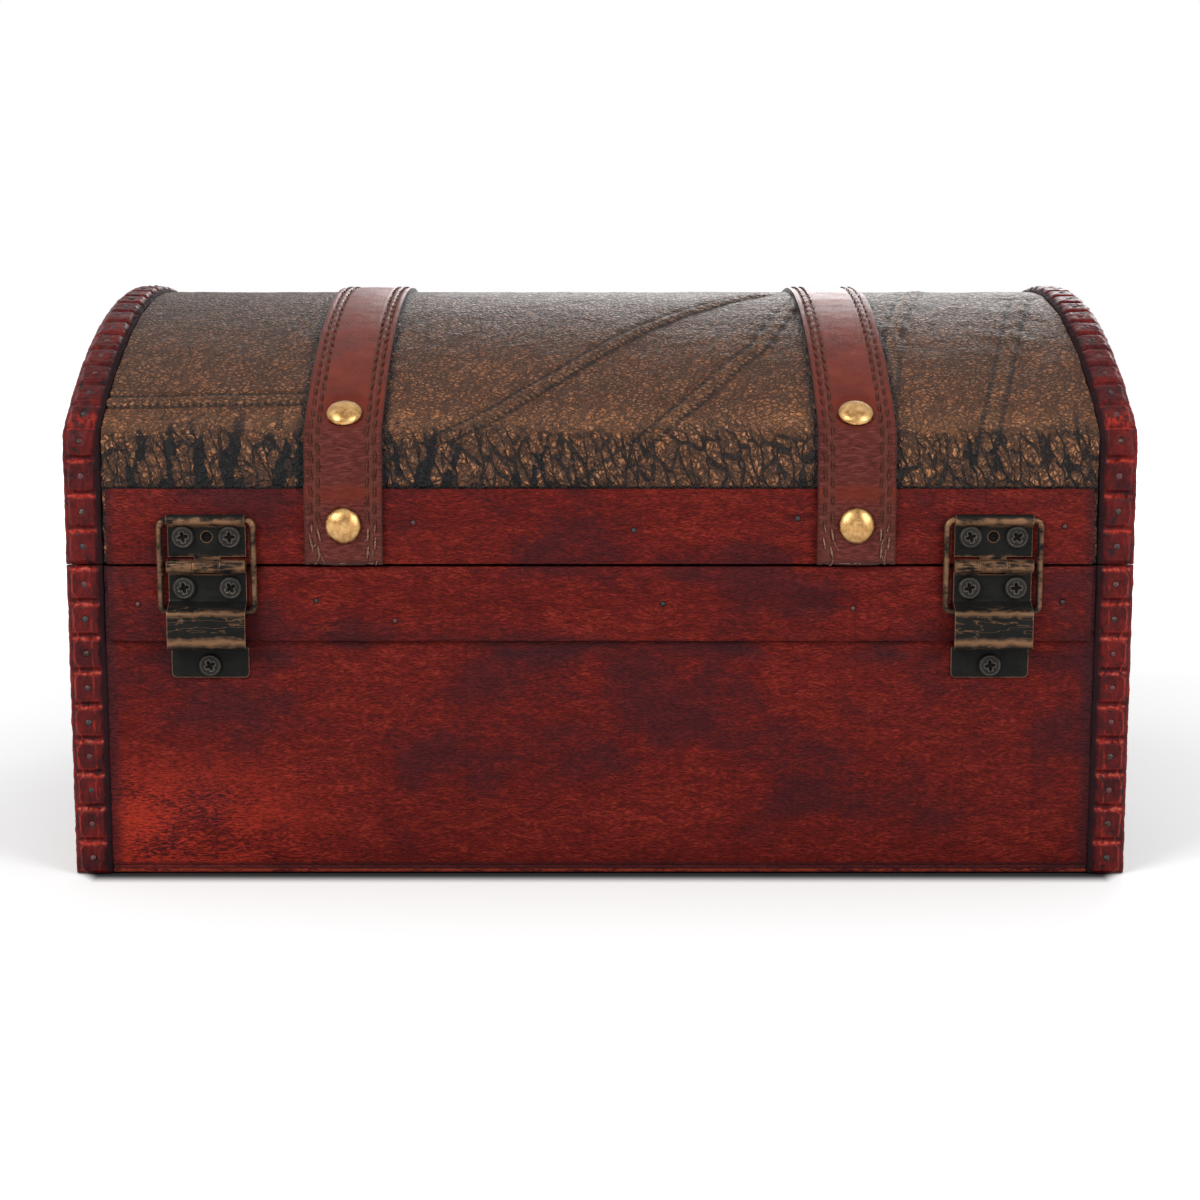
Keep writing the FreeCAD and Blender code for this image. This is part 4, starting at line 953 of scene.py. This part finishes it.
def tack_places(x):
    """Place and outward direction of the four tacks of a strap whose middle is at x."""
    high = SIDE_RUN + BEND_RUN + HIGH_TACK_SHARE * CROWN_RUN / 2
    for run in (high, WHOLE_RUN - high):
        point, direction = station(run, COVER - STRAP_THICK)
        yield point + ACROSS * x, direction
    for side in (BACK, FRONT):
        yield Vector((x, side * (RAIL_FACE + STRAP_THICK), LOW_TACK)), Vector((0, side, 0))


def strap(word, middle, finish):
    """A strap with pressed stitch rows, puckered between them and wrinkled where it hangs."""
    line = strap_line()
    runs = measured(line)
    half, columns = STRAP_WIDTH / 2, 40
    piece = laid_sheet(f"strap_{word}_band", line, middle - half, middle + half, columns, STRAP_THICK)
    spots = np.array([vertex.co for vertex in piece.data.vertices]) / MM
    profile = np.array([(point.y, point.z) for point in line])
    nearest, near = nearest_of(spots[:, 1:], profile)
    run = np.array(runs)[nearest]
    outside = near < 0.3
    side_run = np.minimum(run, runs[-1] - run)
    rim = np.abs(spots[:, 0] - middle)
    map_points(piece, "Strap", np.stack([spots[:, 0] - middle, run], 1))
    rows = np.max([smooth_step(np.abs(rim - row), 0.75, 0.1) for row in STITCH_ROWS], axis=0)
    between = smooth_step(np.abs(rim - sum(STITCH_ROWS) / 2), 0.9, 0.1)
    puckers = between * (0.5 - 0.5 * np.cos(2 * math.pi * run / STITCH_PITCH))
    gaps = [np.linalg.norm(spots - np.array(spot), axis=1) for spot, _ in tack_places(middle)]
    crown = 0.6 * smooth_step(rim, 6.0, 1.0) + 0.4 * smooth_step(rim, 10.3, 9.3)
    press(piece, 0.22, outside * crown)
    press(piece, -0.32, outside * rows)
    press(piece, 0.2, outside * puckers)
    press(piece, -0.4, outside * smooth_step(np.min(gaps, axis=0), 8.5, 4.6))
    rough_up(piece, 0.3, 9.0, outside)
    rough_up(piece, 0.22, 1.4, outside * smooth_step(side_run, 46, 34) * smooth_step(side_run, 0.6, 2.0))
    keep(piece, "side_run", side_run)
    smooth(piece)
    return dress(piece, "lid", finish, "strap_leather", f"strap_{word}")


def nearest_of(spots, points):
    """For each spot the number of the nearest of some points, and how far it is."""
    numbers, gaps = [], []
    at_once = 4000
    for start in range(0, len(spots), at_once):
        apart = np.linalg.norm(spots[start:start + at_once, None, :] - points[None, :, :], axis=2)
        numbers.append(np.argmin(apart, axis=1))
        gaps.append(np.min(apart, axis=1))
    return np.concatenate(numbers), np.concatenate(gaps)


def stitch_lump():
    """One stitch: a thread that rises out of one hole and goes down into the next."""
    return bead(8, 6, (0.27, STITCH_PITCH / 2 - 0.45, 0.26))


def loose_thread(points):
    """A frayed end of thread through a few points, in millimetres."""
    curve = bpy.data.curves.new("frayed", "CURVE")
    curve.dimensions = "3D"
    curve.bevel_depth = THREAD_RADIUS * MM
    curve.bevel_resolution = 1
    spline = curve.splines.new("NURBS")
    spline.points.add(len(points) - 1)
    for entry, point in zip(spline.points, points):
        entry.co = (*(Vector(point) * MM), 1)
    spline.order_u = 3
    spline.use_endpoint_u = True
    spline.resolution_u = 6
    take(placed("frayed", curve))
    bpy.ops.object.convert(target="MESH")
    return bpy.context.object


def stitching(word, middle, finish):
    """Four rows of stitches on one strap, with the frayed ends at its back foot."""
    on_left = word == "left"
    line = strap_line()
    runs = measured(line)
    chance = random.Random(30 if on_left else 32)
    places = []
    for row, start in zip(STITCH_ROWS, STITCH_STARTS):
        for way in (-1, 1):
            for number in range(int((runs[-1] - 5) / STITCH_PITCH)):
                distance = start + number * STITCH_PITCH
                point, ahead, outward = on_line(line, runs, distance)
                turn = Matrix.Rotation(math.radians(chance.uniform(-7, 7) + 7 * way), 3, outward)
                ahead = turn @ ahead
                aside = ahead.cross(outward)
                spin = Matrix((aside, ahead, outward)).transposed().to_4x4()
                spot = point + ACROSS * (middle + way * row + chance.uniform(-0.1, 0.1)) - outward * 0.16
                places.append(Matrix.Translation(spot * MM) @ spin)
    piece = copies(stitch_lump(), places, f"strap_{word}_stitching")
    y = -(RAIL_FACE + STRAP_THICK)
    threads = []
    for _ in range(9 if on_left else 6):
        way = chance.choice((-1, 1, 1) if on_left else (-1, 1))
        x = middle + way * chance.choice(STITCH_ROWS) + chance.uniform(-0.6, 0.6)
        z = LID_BOTTOM + chance.uniform(1.5, 9)
        lean = chance.uniform(-1.6, 1.6)
        drop = chance.uniform(1.5, 4.2)
        points = [(x, y + 0.2, z), (x + lean * 0.2, y - 0.35, z - drop * 0.3),
                  (x + lean * 0.7, y - 0.5, z - drop * 0.7), (x + lean, y - 0.25, max(LID_BOTTOM, z - drop))]
        threads.append(loose_thread(points))
    for _ in range(4):
        x = middle + chance.uniform(-9, 6)
        long_ = chance.uniform(2.0, 5.0)
        z = LID_BOTTOM + 0.2
        points = [(x, y + 0.1, z + 0.2), (x + long_ * 0.3, y - 0.25, z), (x + long_ * 0.7, y - 0.2, z + 0.25),
                  (x + long_, y + 0.1, z)]
        threads.append(loose_thread(points))
    piece = join([piece] + threads, f"strap_{word}_stitching")
    smooth(piece)
    return dress(piece, "lid", finish, "strap_leather")


def bead(segments, rings, size):
    """A ball pressed to three half sizes, in millimetres."""
    clear()
    bpy.ops.mesh.primitive_uv_sphere_add(segments=segments, ring_count=rings, radius=1.0)
    ball = bpy.context.object
    ball.scale = [value * MM for value in size]
    return settle(ball)


def tack_head():
    """A domed tack head with a turned-in rim and a hollow underneath, a little dented."""
    clear()
    bpy.ops.mesh.primitive_uv_sphere_add(segments=40, ring_count=24, radius=TACK_RADIUS * MM)
    head = bpy.context.object
    edit(head)
    bpy.ops.mesh.select_all(action="SELECT")
    bpy.ops.mesh.bisect(plane_co=(0, 0, 0), plane_no=(0, 0, 1), clear_inner=True, use_fill=True)
    extrude((0, 0, -0.35 * MM))
    bpy.ops.transform.resize(value=(0.93, 0.93, 1))
    bpy.ops.object.mode_set(mode="OBJECT")
    for vertex in head.data.vertices:
        if vertex.co.z > 0:
            vertex.co.z *= 0.5
    return rough_up(head, 0.16, 2.6)


def tacks(word, middle, finish):
    """The four tacks of a strap, each turned further than the one before."""
    places = [facing(point, direction, 1.3 * number) for number, (point, direction)
              in enumerate(tack_places(middle))]
    piece = smooth(copies(tack_head(), places, f"strap_{word}_tack_heads"))
    return dress(piece, "lid", finish, "tack_brass", f"strap_{word}_tacks")


# Metal fittings


def screw_head():
    """A pan head: a raised rim, a dished top and a crossed recess that narrows to its foot."""
    clear()
    bpy.ops.mesh.primitive_cylinder_add(vertices=40, radius=SCREW_RADIUS * MM, depth=1.0 * MM,
                                        location=(0, 0, 0.5 * MM))
    head = settle(bpy.context.object)
    edit(head)
    pick(head, "faces", lambda face: face.normal.z > 0.9)
    for wide, rise in ((0.93, 0.22), (0.93, 0.06), (0.9, -0.13), (0.75, 0.12), (0.7, 0.08)):
        extrude((0, 0, rise * MM))
        bpy.ops.transform.resize(value=(wide, wide, 1))
    bpy.ops.object.mode_set(mode="OBJECT")
    cutters = []
    for turn in (0, math.pi / 2):
        clear()
        bpy.ops.mesh.primitive_cube_add(size=1.0, location=(0, 0, 1.0 * MM), rotation=(0, 0, turn))
        bar = bpy.context.object
        bar.scale = (3.6 * MM, 1.2 * MM, 1.3 * MM)
        settle(bar)
        edit(bar)
        pick(bar, "faces", lambda face: face.normal.z < -0.9)
        bpy.ops.transform.resize(value=(0.45, 0.45, 1))
        bpy.ops.object.mode_set(mode="OBJECT")
        cutters.append(bar)
    for bar in cutters:
        modify(head, "BOOLEAN", operation="DIFFERENCE", object=bar, solver="EXACT")
        bpy.data.objects.remove(bar)
    modify(head, "BEVEL", width=0.07 * MM, segments=1, limit_method="ANGLE", angle_limit=math.radians(35))
    # Marks the points inside the cross recess, where the screw's finish paints shade, black
    keep(head, "recess", [vertex.co.xy.length < 1.9 * MM and vertex.co.z < 1.02 * MM
                          for vertex in head.data.vertices])
    return head


# How far each hinge's screws are turned, in degrees: two in the lid leaf and three in the body leaf
SCREW_TURNS = {"left": (12, 5, 14, 33, 27), "right": (18, 36, 12, 4, 8)}


def seats_of(node):
    """Lowest and highest corner of each solid of a CAD node, from the top down and left to right."""
    mesh = bmesh.new()
    mesh.from_mesh(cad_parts[node].data)
    bmesh.ops.remove_doubles(mesh, verts=mesh.verts, dist=TOUCHING * MM)
    left = set(mesh.verts)
    spots = []
    while left:
        group = [left.pop()]
        for vertex in group:
            for edge in vertex.link_edges:
                other = edge.other_vert(vertex)
                if other in left:
                    left.remove(other)
                    group.append(other)
        low = Vector([min(v.co[k] for v in group) for k in range(3)])
        high = Vector([max(v.co[k] for v in group) for k in range(3)])
        spots.append((low, high))
    mesh.free()
    return sorted(spots, key=lambda spot: (-round(spot[0].z, 4), spot[0].x))


def screws(node, name, body, finish, slot, turns):
    """Screw heads at the seats of the CAD node's own screws, with their turns in degrees."""
    places = []
    for number, (low, high) in enumerate(seats_of(node)):
        middle = (low + high) / 2
        side = BACK if middle.y < 0 else FRONT
        outer = low.y if side < 0 else high.y
        seat = Vector((middle.x, outer - side * SCREW_HEAD * MM, middle.z)) / MM
        places.append(facing(seat, Vector((0, side, 0)), math.radians(turns[number])))
    return dress(smooth(copies(screw_head(), places, name), 45), body, finish, slot, node)


def fittings(finishes):
    """Hinges, stays, hasp and eye."""
    steel, brass = finishes["hinge_steel"], finishes["hasp_brass"]
    for word in ("left", "right"):
        leaves = (("lid", "upper", SCREW_TURNS[word][:2]), ("body", "lower", SCREW_TURNS[word][2:]))
        for body, level, _ in leaves:
            node = f"hinge_{word}_{body}_leaf"
            dress(bevelled(node, f"hinge_{word}_{level}_leaf", 0.12), body, steel, "hinge_steel", node)
        ring = f"stay_{word}_ring"
        dress(smooth(copy_of(ring, f"stay_{word}_wire")), f"stay_{word}", steel, "hinge_steel", ring)
        coat(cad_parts[f"hinge_{word}_pin"], steel)
        for body, level, turns in leaves:
            screws(f"hinge_{word}_{body}_screws", f"hinge_{word}_{level}_screws", body,
                   finishes["screw_steel"], "hinge_steel", turns)
    for node, name, body in (("hasp_lid_plate", "hasp_upper_plate", "lid"),
                             ("hasp_body_plate", "hasp_lower_plate", "body"),
                             ("hasp_tongue", "hasp_slotted_tongue", "hasp_tongue"),
                             ("hasp_turning_eye", "hasp_eye", "turning_eye")):
        dress(bevelled(node, name, 0.16), body, brass, "hasp_brass", node)
    coat(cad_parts["hasp_pin"], brass)
    screws("hasp_lid_screws", "hasp_upper_screws", "lid", brass, "hasp_brass", (20, 65))
    screws("hasp_body_screws", "hasp_lower_screws", "body", brass, "hasp_brass", (40, 5))


def nail_head():
    """A small hammered nail end."""
    return rough_up(bead(12, 8, (NAIL_RADIUS, NAIL_RADIUS, 0.42)), 0.25, 0.8)


def block_seats(body):
    """Middle and outward direction of each carved block at one end of the body or the lid."""
    if body == "lid":
        return [station((k + 0.5) * WHOLE_RUN / LID_BLOCKS, 0.0) for k in range(LID_BLOCKS)]
    pitch = BODY_HEIGHT / BODY_BLOCKS
    return [(Vector((0, face * HALF_DEPTH, (k + 0.5) * pitch)), Vector((0, face, 0)))
            for face in (BACK, FRONT) for k in range(BODY_BLOCKS)]


def block_nails(body):
    """Places of the nails in the carved blocks: some stand proud and lean, the others lie deeper."""
    chance = random.Random(7 if body == "body" else 11)
    for end in (-1, 1):
        for point, direction in block_seats(body):
            proud = chance.random() < 0.4
            spot = point + ACROSS * end * NAIL_LINE - direction * (0.15 if proud else 0.28)
            tilt = Matrix.Rotation(math.radians(chance.uniform(-25, 25) if proud else 0), 4, "X")
            size = chance.uniform(0.9, 1.1)
            yield facing(spot, direction, chance.uniform(0, 6)) @ tilt @ Matrix.Scale(size, 4)


def rail_brads(body):
    """Places of the brads in the rails, at the seats of the CAD node's own."""
    chance = random.Random(5)
    for low, high in seats_of(f"{body}_rail_brads"):
        middle = (low + high) / 2
        side = BACK if middle.y < 0 else FRONT
        spot = Vector((middle.x / MM, side * (RAIL_FACE + 0.05), middle.z / MM))
        tilt = Matrix.Rotation(math.radians(chance.uniform(-20, 20)), 4, "X")
        yield facing(spot, Vector((0, side, 0)), chance.uniform(0, 6)) @ tilt @ Matrix.Scale(0.8, 4)


def nails(finish):
    """The nail ends in the carved blocks, and the brads in the rails."""
    for kind, heads, places in (("moulding_nails", "block_nails", block_nails),
                                ("rail_brads", "brad_heads", rail_brads)):
        for body in ("body", "lid"):
            piece = smooth(copies(nail_head(), places(body), f"{body}_{heads}"))
            dress(piece, body, finish, "nail_steel", f"{body}_{kind}")


# Studio, in metres and watts: the photograph's camera with its tilt below level in degrees, and
# the place, size and power of each lamp

CAMERA_PLACE = (0, -0.704, 0.164)
CAMERA_TILT = 8.536
CAMERA_LENS = 69.33
SENSOR_WIDTH = 36.0
FLOOR_DROP = 0.0003
SCREEN_PLACE = (0, 2.6, 5.44)
LAMP_AIM = Vector((0, 0, 0.06))
LAMPS = (("left_softbox", (-0.75, -0.85, 0.75), (0.6, 0.6), 9.0),
         ("right_softbox", (0.8, -0.8, 0.6), (0.5, 0.6), 6.0),
         ("top_softbox", (0.0, 0.25, 1.1), (0.9, 0.6), 0.5),
         ("rear_softbox", (0.35, 1.5, 0.62), (1.1, 0.6), 12.0))


def lamp(name, place, size, power):
    """A soft lamp that looks at the middle of the chest's body."""
    light = bpy.data.lights.new(name, "AREA")
    light.shape = "RECTANGLE"
    light.size, light.size_y = size
    light.energy = power
    made = placed(name, light)
    made.location = place
    made.rotation_euler = (LAMP_AIM - Vector(place)).to_track_quat("-Z", "Y").to_euler()


def studio():
    """Floor, backdrop, lamps, world and the photograph's camera."""
    clear()
    bpy.ops.mesh.primitive_plane_add(size=8, location=(0, 0, -FLOOR_DROP))
    floor = bpy.context.object
    floor.name = "studio_floor"
    floor.data.materials.append(white_floor())
    bpy.ops.mesh.primitive_plane_add(size=1, location=SCREEN_PLACE, rotation=(math.pi / 2, 0, 0))
    screen = bpy.context.object
    screen.name = "studio_backdrop"
    screen.scale = (6.0, 3.4, 1.0)
    settle(screen)
    screen.data.materials.append(white_backdrop())
    for row in LAMPS:
        lamp(*row)
    world = bpy.data.worlds.new("white_studio")
    bpy.context.scene.world = world
    world.use_nodes = True
    sky = Nodes(world.node_tree)
    background = world.node_tree.nodes["Background"]
    sky.join(background.inputs["Color"], (1, 1, 1, 1))
    sky.join(background.inputs["Strength"], seen_rays(sky) * 0.5 + 0.5)
    camera = bpy.data.cameras.new("camera")
    camera.lens = CAMERA_LENS
    camera.sensor_width = SENSOR_WIDTH
    eye = placed("camera", camera)
    eye.location = CAMERA_PLACE
    eye.rotation_euler = (math.radians(90 - CAMERA_TILT), 0, 0)
    bpy.context.scene.camera = eye
    bpy.context.scene.view_settings.view_transform = "Standard"


def main():
    """The whole chest, in the order of its making, and then the studio."""
    finishes = {
        "wood_long": stained_wood("stained_wood_long"),
        "wood_end": stained_wood("stained_wood_end", along="y", seed=17.0),
        "wood_rail": stained_wood("stained_wood_rail", seed=41.0, worn=0.6),
        "body_carving": carved_paint("body_carving_paint", BODY_HEIGHT / BODY_BLOCKS),
        "lid_carving": carved_paint("lid_carving_paint", WHOLE_RUN / LID_BLOCKS,
                                    (SIDE_RUN + 5.5, SIDE_RUN + 9.5)),
        "hinge_steel": blackened_metal("blackened_steel", (0.27, 0.14, 0.072), (0.004, 0.004, 0.004),
                                       (0.011, 0.0105, 0.0095), hinge=True),
        "screw_steel": blackened_metal("screw_steel", (0.2, 0.165, 0.135), (0.01, 0.0095, 0.009),
                                       (0.024, 0.022, 0.02), paint_recess_shade=True),
        "hasp_brass": blackened_metal("hasp_brass", (0.55, 0.36, 0.16), (0.1, 0.055, 0.024),
                                      (0.26, 0.16, 0.068), metal=0.85),
    }
    thread, hide, brass = waxed_thread(), strap_leather(), antique_brass()
    boards(finishes)
    mouldings(finishes)
    leather_cover(cover_leather())
    for word, middle in (("left", -STRAP_DISTANCE), ("right", STRAP_DISTANCE)):
        strap(word, middle, hide)
        stitching(word, middle, thread)
        tacks(word, middle, brass)
    fittings(finishes)
    nails(dull_steel())
    studio()


main()
